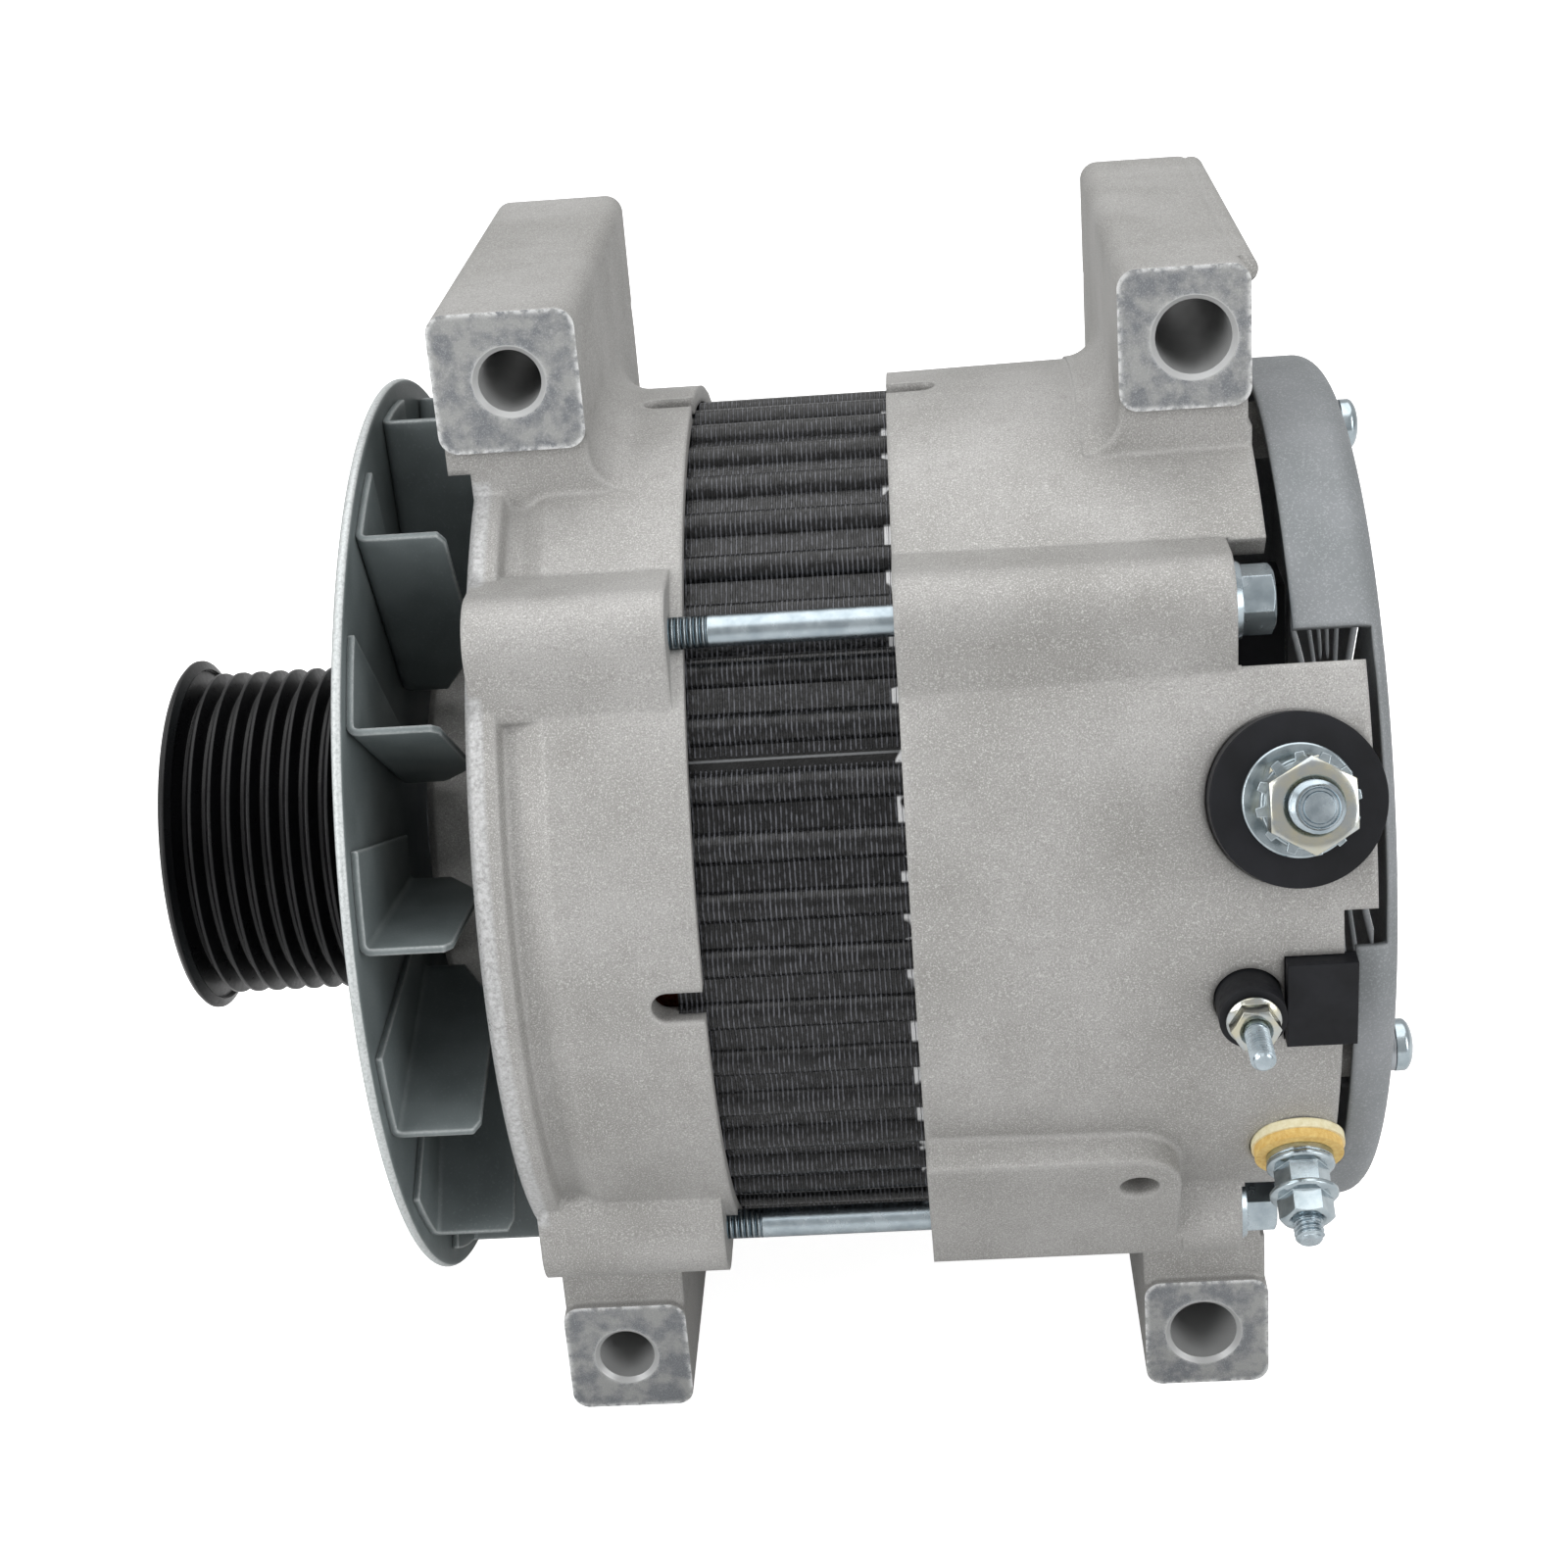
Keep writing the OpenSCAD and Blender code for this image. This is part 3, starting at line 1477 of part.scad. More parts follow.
module positive_plate() {
    color("#c0c3c6")
    difference() {
        union() {
            rectifier_plate(POSITIVE_SECTOR, positive_x, POSITIVE_SCREWS, POSITIVE_DIODES);
            // Upright lug that takes the battery stud
            outwards(battery_angle, battery_x)
            translate([positive_x - battery_x, -lug_block_w / 2, plate_outer - 6])
            cube([battery_x - positive_x + lug_block_w / 2, lug_block_w, insulator_inner - plate_outer + 6]);
        }
        outwards(battery_angle, battery_x)
        translate([0, 0, plate_inner])
        cylinder(r = battery_stud_radius + press_gap, h = plate_outer);
    }
}

module negative_plate() {
    color("#c0c3c6")
    rectifier_plate(NEGATIVE_SECTOR, rear_wall_back, NEGATIVE_SCREWS, NEGATIVE_DIODES);
}

// Diode can pressed into its plate, with a lead on top
module diode(a, x) {
    along_shaft(a, diode_circle, x + 0.2) {
        cylinder(r = diode_radius, h = diode_h);
        cylinder(r = diode_pin, h = diode_h + 4);
    }
}

module rectifier_diodes() {
    color("#8f9296") {
        for (a = POSITIVE_DIODES)
            diode(a, positive_x);
        for (a = NEGATIVE_DIODES)
            diode(a, rear_wall_back);
    }
}

module plate_bushings() {
    color("#2f3033")
    for (a = POSITIVE_SCREWS)
        along_shaft(a, plate_screw_circle, rear_wall_back)
        washer(small_head_radius + 0.8, small_screw_radius + 0.2, standoff_l);
}

module plate_screws() {
    color("#aeb9c0") {
        for (a = POSITIVE_SCREWS)
            along_shaft(a, plate_screw_circle, positive_x + plate_t)
            pan_screw(small_screw_radius, small_head_radius, small_head_h, plate_t + standoff_l + screw_bite - 0.5);
        for (a = NEGATIVE_SCREWS)
            along_shaft(a, plate_screw_circle, rear_wall_back + plate_t)
            pan_screw(small_screw_radius, small_head_radius, small_head_h, plate_t + screw_bite - 0.5);
    }
}

module regulator() {
    color("#2a2b2e")
    difference() {
        translate([rear_wall_back, -regulator_w / 2, -REGULATOR_SPAN[1]])
        cube([regulator_h, regulator_w, REGULATOR_SPAN[1] - REGULATOR_SPAN[0]]);
        for (side = [-1, 1])
            along_shaft(270 + side * regulator_screw_angle, wall_screw_circle, rear_wall_back - over)
            cylinder(r = small_screw_radius + 0.3, h = regulator_h + 2 * over);
    }
}

module regulator_screws() {
    color("#aeb9c0")
    for (side = [-1, 1])
        along_shaft(270 + side * regulator_screw_angle, wall_screw_circle, rear_wall_back + regulator_h)
        pan_screw(small_screw_radius, small_head_radius, small_head_h, regulator_h + screw_bite - 0.5);
}

// Battery terminal

module battery_stud() {
    head_h = 3;
    color("#b4bcc2")
    outwards(battery_angle, battery_x) {
        translate([0, 0, plate_outer - 6 - head_h])
        cylinder(r = battery_stud_radius + 3, h = head_h);
        threaded_stud(battery_stud_radius, plate_outer - 6 - head_h,
            battery_nut2 + battery_nut_h + free_gap, battery_stud_end);
    }
}

module battery_insulator() {
    color("#2b2c30")
    outwards(battery_angle, battery_x)
    difference() {
        union() {
            translate([0, 0, insulator_inner])
            cylinder(r = insulator_neck, h = spot_plane - insulator_inner + 0.5);
            translate([0, 0, spot_plane])
            cylinder(r = battery_disc_radius, h = battery_disc_top - spot_plane);
        }
        translate([0, 0, insulator_inner - over])
        cylinder(r = battery_stud_radius + press_gap, h = battery_disc_top);
    }
}

module battery_washers() {
    color("#b4bcc2")
    outwards(battery_angle, battery_x) {
        translate([0, 0, battery_disc_top])
        washer(battery_washer_radius, battery_stud_radius + 0.2, battery_washer_t);
        translate([0, 0, battery_nut1 + battery_nut_h])
        washer(battery_washer_radius - 1, battery_stud_radius + 0.2, 2 * battery_washer_t);
    }
}

module battery_nuts() {
    color("#c3c5bd")
    outwards(battery_angle, battery_x) {
        translate([0, 0, battery_nut1])
        rotate(12)
        hex_nut(battery_nut_flats, battery_nut_h, battery_stud_radius + press_gap);
        translate([0, 0, battery_nut2])
        rotate(30)
        hex_nut(battery_nut_flats, battery_nut_h, battery_stud_radius + press_gap);
    }
}

// Signal terminal

module signal_stud() {
    head_h = 2;
    inner = chamber_radius - 4;
    color("#b4bcc2")
    outwards(signal_angle, signal_x) {
        threaded_stud(signal_stud_radius, inner, signal_ring_top + signal_nut_h + free_gap, signal_stud_end);
        translate([0, 0, inner])
        cylinder(r = signal_stud_radius + 1.2, h = head_h);
    }
}

module signal_insulator() {
    neck_inner = chamber_radius - 2;
    color("#303136")
    outwards(signal_angle, signal_x)
    difference() {
        union() {
            translate([0, 0, spot_plane])
            cylinder(r = signal_ring_radius, h = signal_ring_top - spot_plane);
            translate([0, 0, neck_inner])
            cylinder(r = signal_stud_radius + 1.3, h = spot_plane - neck_inner + 0.5);
        }
        translate([0, 0, neck_inner - over])
        cylinder(r = signal_stud_radius + press_gap, h = signal_ring_top);
    }
}

// Block beside the signal terminal, tucked under the edge of the cover
module signal_block() {
    color("#303136")
    outwards(signal_angle, 0)
    translate([block_x, block_z - block_w / 2, spot_plane])
    cube([block_end - block_x, block_w, block_top - spot_plane]);
}

module signal_nut() {
    color("#b4bcc2")
    outwards(signal_angle, signal_x)
    translate([0, 0, signal_ring_top])
    flange_nut(signal_nut_flats, signal_nut_h, signal_stud_radius + press_gap, signal_flange_radius);
}

// Ground terminal

module ground_stud() {
    inner = chamber_radius - 1;
    color("#b4bcc2")
    on_ground_stud()
    threaded_stud(ground_stud_radius, inner, ground_nut2 + ground_nut_h + free_gap, ground_stud_end);
}

module fibre_washers() {
    layer = (fibre_top - spot_plane) / 2;
    color("#d9c88a")
    on_ground_stud()
    for (i = [0, 1])
        translate([0, 0, spot_plane + i * layer])
        washer(fibre_radius - i * 0.4, ground_stud_radius + 0.2, layer - stack_gap);
}

module ground_washer() {
    color("#b4bcc2")
    on_ground_stud()
    translate([0, 0, fibre_top])
    washer(ground_washer_radius, ground_stud_radius + 0.2, ground_washer_t);
}

module ground_nuts() {
    color("#b4bcc2")
    on_ground_stud()
    for (z = [ground_nut1, ground_nut2])
        translate([0, 0, z])
        flange_nut(ground_nut_flats, ground_nut_h, ground_stud_radius + press_gap, ground_flange_radius);
}

// Rear cover

// Solid outline of a cup's profile with a rounded outer corner
module cup_outline(r, x0, x1, corner) {
    band(0, r, x0, x1 - corner);
    band(0, r - corner, x0, x1);
    translate([r - corner, x1 - corner])
    circle(corner);
}

module cover_profile() {
    difference() {
        union() {
            cup_outline(cover_radius, cover_x, cover_end, cover_corner);
            band(0, cover_rise_radius, cover_end - over, cover_end + cover_rise);
        }
        cup_outline(cover_radius - cover_t, cover_x - over, cover_end - cover_t, cover_corner - cover_t);
        band(0, cover_rise_radius - cover_t, cover_x, cover_end + cover_rise - cover_t);
    }
}

module rear_cover() {
    step = 360 / cover_slot_count;
    slot_in = 24;
    slot_out = 52;
    window_depth = 12.4;
    color("#8e9193")
    difference() {
        turned()
        cover_profile();
        turned_between(3, 41.8)
        band(cover_radius - cover_t - over, cover_radius + over, cover_x - over, cover_x + window_depth);
        turned_between(SIDE_WALL[0] - 2, 4)
        band(cover_radius - cover_t - over, cover_radius + over, cover_x - over, cover_x + 7.3);
        for (i = [0 : cover_slot_count - 1])
            at_angle((i + 0.5) * step)
            rotate([0, 90, 0])
            linear_extrude(cover_end + 4 * over)
            cover_slot(slot_in, slot_out);
        for (a = SCREW_ANGLES)
            along_shaft(a, cover_screw_circle, cover_end - 2 * cover_t)
            cylinder(r = cover_screw_radius + 0.3, h = 4 * cover_t);
    }
}

// Long hole with round ends, pointing away from the shaft
module cover_slot(slot_in, slot_out) {
    translate([-cover_slot_w / 2, -slot_out])
    square([cover_slot_w, slot_out - slot_in]);
    for (r = [slot_in, slot_out])
        translate([0, -r])
        circle(d = cover_slot_w);
}

module cover_screws() {
    head_h = 3.2;
    color("#aeb9c0")
    for (a = SCREW_ANGLES)
        along_shaft(a, cover_screw_circle, cover_end + washer_t)
        pan_screw(cover_screw_radius, cover_head_radius, head_h, 11);
}

module cover_spring_washers() {
    color("#8d9196")
    for (a = SCREW_ANGLES)
        along_shaft(a, cover_screw_circle, cover_end)
        washer(cover_head_radius, cover_screw_radius + 0.2, washer_t);
}

front_frame();
rear_frame();
stator_core();
stator_winding();
through_bolts();
front_bearing_outer_ring();
bearing_retainer();
retainer_screws();
rear_bearing_outer_ring();
positive_plate();
negative_plate();
rectifier_diodes();
plate_bushings();
plate_screws();
regulator();
regulator_screws();
brush_holder();
brush_holder_screws();
front_brush_spring();
rear_brush_spring();
battery_stud();
battery_insulator();
battery_washers();
battery_nuts();
signal_stud();
signal_insulator();
signal_block();
signal_nut();
ground_stud();
fibre_washers();
ground_washer();
ground_nuts();
rear_cover();
cover_screws();
cover_spring_washers();
shaft();
pulley_key();
pulley();
pulley_nut();
pulley_spring_washer();
fan_plate();
fan_blades();
spacer_collar();
front_bearing_inner_ring();
rear_bearing_inner_ring();
front_pole_piece();
rear_pole_piece();
field_bobbin();
field_coil();
slip_ring_sleeve();
slip_rings();
front_bearing_cage();
front_bearing_balls();
rear_bearing_cage();
rear_bearing_balls();
front_brush();
rear_brush();
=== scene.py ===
# Looks of a heavy duty alternator: cast frames, black stator, painted fan and ribbed belt pulley.
# All sizes below are in millimetres and become metres in the meshes.
import json
import math
import bmesh
import bpy
from mathutils import Matrix, Vector


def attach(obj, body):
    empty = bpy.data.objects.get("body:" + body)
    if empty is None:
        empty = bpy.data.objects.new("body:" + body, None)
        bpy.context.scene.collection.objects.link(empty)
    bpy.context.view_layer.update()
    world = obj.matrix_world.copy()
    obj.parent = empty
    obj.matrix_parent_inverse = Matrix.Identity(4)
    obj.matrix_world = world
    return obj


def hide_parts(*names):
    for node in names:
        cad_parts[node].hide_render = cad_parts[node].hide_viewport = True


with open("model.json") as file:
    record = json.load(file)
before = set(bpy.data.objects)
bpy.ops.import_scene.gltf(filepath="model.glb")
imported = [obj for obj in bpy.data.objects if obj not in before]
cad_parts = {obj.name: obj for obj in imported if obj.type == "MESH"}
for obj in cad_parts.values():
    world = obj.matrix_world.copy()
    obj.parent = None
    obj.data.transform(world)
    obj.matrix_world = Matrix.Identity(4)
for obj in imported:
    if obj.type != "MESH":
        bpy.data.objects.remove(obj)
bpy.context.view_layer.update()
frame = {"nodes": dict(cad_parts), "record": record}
NODES = frame["nodes"]
MM = 0.001

# Places on the object, as in the part's source
FAN_BACK = 26.0
FAN_RIM_R = 82.9
BLADES = 14
BLADE_START = 9.4
BLADE_REACH = 15.0
BLADE_ROOT_REACH = 8.4
BLADE_RAMP = 10.0
BLADE_T = 1.2
BLADE_BEND = 1.9
BLADE_CORNER = 2.0
BLADE_TIP_R = 80.3
BLADE_ROOT_R = 40.0
FOOT_ANGLE = 12.0
FLANGE_X = 45.1
FLANGE_T = 3.0
FLANGE_MID_R = 76.0
FLANGE_HALF_R = 4.8
STATOR_FRONT = 80.6
STATOR_REAR = 114.9
BARE_LIP = 1.3
LACQUER_PITCH = 0.84
WELD_ANGLE = 29.6
HALF_RIB_ANGLE = 3.75
RIB_ANGLE = 5.8
BOLT_THREAD = 4.0
BOLT_HEAD_X = 160.0
BATTERY_ANGLE = 21.6
BATTERY_X = 176.1
BATTERY_SEAT = 84.5
BATTERY_NUTS = (86.1, 95.8)
SIGNAL_ANGLE = -2.3
SIGNAL_X = 168.1
SIGNAL_NUT = 85.5
GROUND_ANGLE = -32.6
GROUND_X = 177.1
GROUND_RISE = 8.3
GROUND_NUTS = (82.7, 87.93)
FIBRE_SPLIT = 79.8
COVER_END = 192.7
SCREW_ANGLES = (90, -19.3, 205)
SCREW_R = 67.0
UPPER_LUG_Y = -31.8
LOWER_LUG_Y = -38.2
MOUNT_FACE_Y = 56.4
UPPER_LUG_Z = 92.8
LOWER_LUG_Z = -96.9
UPPER_FACE_FROM_Z = 79.0
LOWER_FACE_FROM_Z = -84.0
MOUNT_FACE_FROM_Z = 72.0
FACE_SKIN = 0.08
# Station, height and radius of each bore
LUG_BORES = ((53.7, UPPER_LUG_Z, 6.2), (54.8, LOWER_LUG_Z, 6.2),
             (165.7, UPPER_LUG_Z, 7.2), (164.3, LOWER_LUG_Z, 7.2))
FLOOR_Z = -108.4

# Light, in Blender's units
WORLD_LIGHT = 0.63
FLOOR_GLOW = 0.86


SOCKETS = {"specular_ior_level": "Specular IOR Level", "coat_weight": "Coat Weight",
           "coat_roughness": "Coat Roughness"}


# Colour and node helpers

def srgb(text):
    """Linear colour of an sRGB hex value."""
    def linear(v):
        return v / 12.92 if v <= 0.04045 else ((v + 0.055) / 1.055) ** 2.4
    return tuple(linear(int(text[i:i + 2], 16) / 255) for i in (1, 3, 5)) + (1.0,)


def add(mat, kind, links=None, **settings):
    """Adds a node. Settings are attributes or socket names, links map a socket to an output."""
    node = mat.node_tree.nodes.new("ShaderNode" + kind)
    for key, value in settings.items():
        if hasattr(node, key):
            setattr(node, key, value)
        else:
            node.inputs[key.replace("_", " ")].default_value = value
    for socket, output in (links or {}).items():
        mat.node_tree.links.new(output, node.inputs[socket])
    return node


def new_material(name):
    """Material with an empty tree and its object coordinates in millimetres."""
    mat = bpy.data.materials.new(name)
    mat.use_nodes = True
    mat.node_tree.nodes.clear()
    coords = add(mat, "TexCoord")
    place = add(mat, "Mapping", {"Vector": coords.outputs["Object"]}, Scale=(1000, 1000, 1000))
    return mat, place.outputs["Vector"]


def close_material(mat, shader):
    out = add(mat, "OutputMaterial")
    mat.node_tree.links.new(shader.outputs[0], out.inputs["Surface"])
    return mat


def math_node(mat, operation, a, b=None):
    """One sum on two sockets or numbers."""
    node = add(mat, "Math", operation=operation)
    for i, value in enumerate((a, b)):
        if value is None:
            continue
        if isinstance(value, (int, float)):
            node.inputs[i].default_value = value
        else:
            mat.node_tree.links.new(value, node.inputs[i])
    return node.outputs[0]


def product(mat, a, b):
    return math_node(mat, "MULTIPLY", a, b)


def noise(mat, coords, size, detail=3.0, roughness=0.55):
    """Noise whose blotches are about size millimetres wide."""
    return add(mat, "TexNoise", {"Vector": coords}, Scale=1 / size, Detail=detail,
               Roughness=roughness).outputs["Fac"]


def between(mat, value, low, high, out_low=0.0, out_high=1.0):
    """Maps a value's range onto another one, clamped."""
    node = add(mat, "MapRange", {"Value": value})
    for key, number in (("From Min", low), ("From Max", high), ("To Min", out_low), ("To Max", out_high)):
        node.inputs[key].default_value = number
    return node.outputs["Result"]


def band_mask(mat, value, centre, half, soft=0.2):
    """1 where a value is closer than half to a centre, with a short ramp."""
    away = math_node(mat, "ABSOLUTE", math_node(mat, "SUBTRACT", value, centre))
    return between(mat, away, half + soft, half)


def largest(mat, values):
    total = values[0]
    for value in values[1:]:
        total = math_node(mat, "MAXIMUM", total, value)
    return total


def mix_value(mat, fac, a, b, data_type="FLOAT"):
    """Mixes two numbers or two vectors by a mask."""
    node = add(mat, "Mix", {0: fac}, data_type=data_type)
    first = 2 if data_type == "FLOAT" else 4
    mat.node_tree.links.new(a, node.inputs[first])
    mat.node_tree.links.new(b, node.inputs[first + 1])
    return node.outputs[0 if data_type == "FLOAT" else 1]


def blend_colour(mat, fac, a, b):
    """Mixes two colours, each a socket or a linear colour."""
    node = add(mat, "Mix", data_type="RGBA")
    for socket, value in ((node.inputs[0], fac), (node.inputs[6], a), (node.inputs[7], b)):
        if isinstance(value, (int, float, tuple)):
            socket.default_value = value
        else:
            mat.node_tree.links.new(value, socket)
    return node.outputs[2]


def edge_wear(mat, radius):
    """1 where an edge is closer than radius millimetres, 0 on flat ground; also the softened normal."""
    soft = add(mat, "Bevel", samples=6, Radius=radius * MM)
    flat = add(mat, "NewGeometry")
    dot = add(mat, "VectorMath", {0: soft.outputs["Normal"], 1: flat.outputs["Normal"]},
              operation="DOT_PRODUCT")
    return between(mat, dot.outputs["Value"], 0.995, 0.86), soft.outputs["Normal"]


def bump(mat, height, strength, distance, normal=None):
    links = {"Height": height}
    if normal is not None:
        links["Normal"] = normal
    return add(mat, "Bump", links, Strength=strength, Distance=distance * MM).outputs["Normal"]


def surface(mat, base, rough, normal, metallic, **uniform):
    """Closes a material with one principled shader. Uniform values go straight onto its sockets."""
    links = {"Base Color": base, "Roughness": rough, "Normal": normal}
    if not isinstance(metallic, float):
        links["Metallic"] = metallic
    shader = add(mat, "BsdfPrincipled", links)
    if isinstance(metallic, float):
        shader.inputs["Metallic"].default_value = metallic
    for key, value in uniform.items():
        shader.inputs[SOCKETS[key]].default_value = value
    return close_material(mat, shader)


# Materials

def axis_distance(mat, coords, centre, axis):
    """Distance in millimetres from a line along Y or X through a point."""
    shift = add(mat, "VectorMath", {0: coords}, operation="SUBTRACT")
    shift.inputs[1].default_value = centre
    mask = add(mat, "VectorMath", {0: shift.outputs[0]}, operation="MULTIPLY")
    mask.inputs[1].default_value = (0, 1, 1) if axis == "X" else (1, 0, 1)
    return add(mat, "VectorMath", {0: mask.outputs[0]}, operation="LENGTH").outputs["Value"]


def machined_mask(mat, coords):
    """Two masks: 1 on the milled lug faces and in the lug bores, and 1 only in the bores."""
    split = add(mat, "SeparateXYZ", {"Vector": coords})
    y = split.outputs["Y"]
    z = split.outputs["Z"]
    upper = math_node(mat, "GREATER_THAN", z, UPPER_FACE_FROM_Z)
    lower = math_node(mat, "LESS_THAN", z, LOWER_FACE_FROM_Z)
    faces = []
    for zone, face_y in ((upper, UPPER_LUG_Y), (lower, LOWER_LUG_Y)):
        near = math_node(mat, "LESS_THAN", y, face_y + FACE_SKIN)
        faces.append(product(mat, zone, near))
    lug = math_node(mat, "GREATER_THAN", math_node(mat, "ABSOLUTE", z), MOUNT_FACE_FROM_Z)
    faces.append(product(mat, lug, band_mask(mat, y, MOUNT_FACE_Y, FACE_SKIN, 0.02)))
    bores = []
    for x, z0, radius in LUG_BORES:
        distance = axis_distance(mat, coords, (x, 0, z0), "Y")
        bores.append(math_node(mat, "LESS_THAN", distance, radius))
    return largest(mat, faces + bores), largest(mat, bores)


def cast_aluminium():
    # Sand-cast aluminium, shot blasted: a mid grey that glitters finely and holds no clear reflection.
    # The lug faces are milled: smoother and brighter, blotched, with faint marks of the cutter.
    # The rim of the front flange is trimmed raw metal, rough and speckled.
    mat, p = new_material("cast_aluminium_blasted")
    wear, soft = edge_wear(mat, 1.8)
    milled, drilled = machined_mask(mat, p)
    grit = noise(mat, p, 0.26, 2.0, 0.7)
    grain = noise(mat, p, 1.3, 3.0)
    cloud = noise(mat, p, 24.0, 3.0)
    stain = noise(mat, p, 5.0, 4.0, 0.7)
    base = blend_colour(mat, between(mat, cloud, 0.35, 0.65), srgb("#8f8e8b"), srgb("#a09f9d"))
    base = blend_colour(mat, between(mat, stain, 0.58, 0.76, 0.0, 0.40), base, srgb("#7d7a77"))
    base = blend_colour(mat, between(mat, grit, 0.54, 0.70), base, srgb("#c0bfbd"))
    base = blend_colour(mat, between(mat, grit, 0.46, 0.28, 0.0, 0.7), base, srgb("#7c7a78"))
    base = blend_colour(mat, product(mat, wear, 0.30), base, srgb("#c2c1bf"))

    x = add(mat, "SeparateXYZ", {"Vector": p}).outputs["X"]
    ring = band_mask(mat, axis_distance(mat, p, (0, 0, 0), "X"), FLANGE_MID_R, FLANGE_HALF_R, 0.8)
    flange_back = FLANGE_X + FLANGE_T
    rim = product(mat, ring, between(mat, x, flange_back + 0.4, flange_back - 0.4))
    chip = noise(mat, p, 0.7, 4.0, 0.75)
    raw = blend_colour(mat, between(mat, chip, 0.36, 0.60), srgb("#979797"), srgb("#c3c4c5"))
    front_edge = between(mat, x, FLANGE_X + 1.0, FLANGE_X + 0.6)
    pits = product(mat, front_edge, between(mat, chip, 0.60, 0.64))
    raw = blend_colour(mat, pits, raw, srgb("#3f3d3b"))
    base = blend_colour(mat, product(mat, rim, 0.8), base, raw)

    blotch = noise(mat, p, 3.6, 4.0, 0.6)
    face = blend_colour(mat, between(mat, blotch, 0.40, 0.60), srgb("#74777b"), srgb("#989998"))
    face = blend_colour(mat, between(mat, grit, 0.50, 0.72, 0.0, 0.5), face, srgb("#b4b5b6"))
    ragged = product(mat, wear, between(mat, grain, 0.40, 0.56, 0.1, 1.0))
    face = blend_colour(mat, ragged, face, srgb("#e0e1e1"))
    base = blend_colour(mat, drilled, blend_colour(mat, milled, base, face), srgb("#a9aaaa"))
    cutter = add(mat, "TexWave", {"Vector": p}, wave_type="BANDS", bands_direction="DIAGONAL",
                 Scale=0.55, Distortion=1.2, Detail=2.0).outputs["Fac"]
    worked = math_node(mat, "ADD", product(mat, cutter, 0.3), blotch)
    rough_milled = between(mat, worked, 0.4, 0.9, 0.44, 0.30)
    rough = mix_value(mat, milled, between(mat, grit, 0.3, 0.7, 0.64, 0.46), rough_milled)
    cast_skin = math_node(mat, "SUBTRACT", 1.0, milled)
    height = math_node(mat, "ADD", product(mat, grit, 0.7), product(mat, grain, 0.6))
    height = math_node(mat, "ADD", height, product(mat, product(mat, rim, chip), 1.2))
    height = product(mat, height, cast_skin)
    height = math_node(mat, "ADD", height, product(mat, product(mat, cutter, milled), 0.03))
    crisp = add(mat, "NewGeometry").outputs["Normal"]
    normal = bump(mat, height, 0.6, 0.13, mix_value(mat, milled, soft, crisp, "VECTOR"))
    metal = between(mat, milled, 0, 1, 0.40, 0.50)
    metal = math_node(mat, "SUBTRACT", metal, product(mat, drilled, 0.3))
    return surface(mat, base, rough, normal, metal)


def fan_paint():
    # Grey-green primer on pressed sheet. Sheared edges and the plate's rim show bare bright metal in specks.
    mat, p = new_material("fan_grey_green_paint")
    wear, soft = edge_wear(mat, 0.9)
    speck = noise(mat, p, 0.5, 3.0, 0.65)
    broad = noise(mat, p, 14.0, 2.0)
    rim = between(mat, axis_distance(mat, p, (0, 0, 0), "X"), FAN_RIM_R, FAN_RIM_R + 0.2)
    edge = math_node(mat, "MAXIMUM", wear, rim)
    base = blend_colour(mat, between(mat, broad, 0.35, 0.65), srgb("#5c6465"), srgb("#6b7374"))
    base = blend_colour(mat, between(mat, speck, 0.56, 0.70, 0.0, 0.5), base, srgb("#7d8586"))
    bare = product(mat, edge, between(mat, speck, 0.30, 0.58, 0.55, 1.0))
    base = blend_colour(mat, bare, base, srgb("#c6caca"))
    rough = between(mat, speck, 0.3, 0.7, 0.42, 0.58)
    metal = between(mat, edge, 0, 1, 0.15, 0.5)
    return surface(mat, base, rough, bump(mat, speck, 0.45, 0.07, soft), metal)


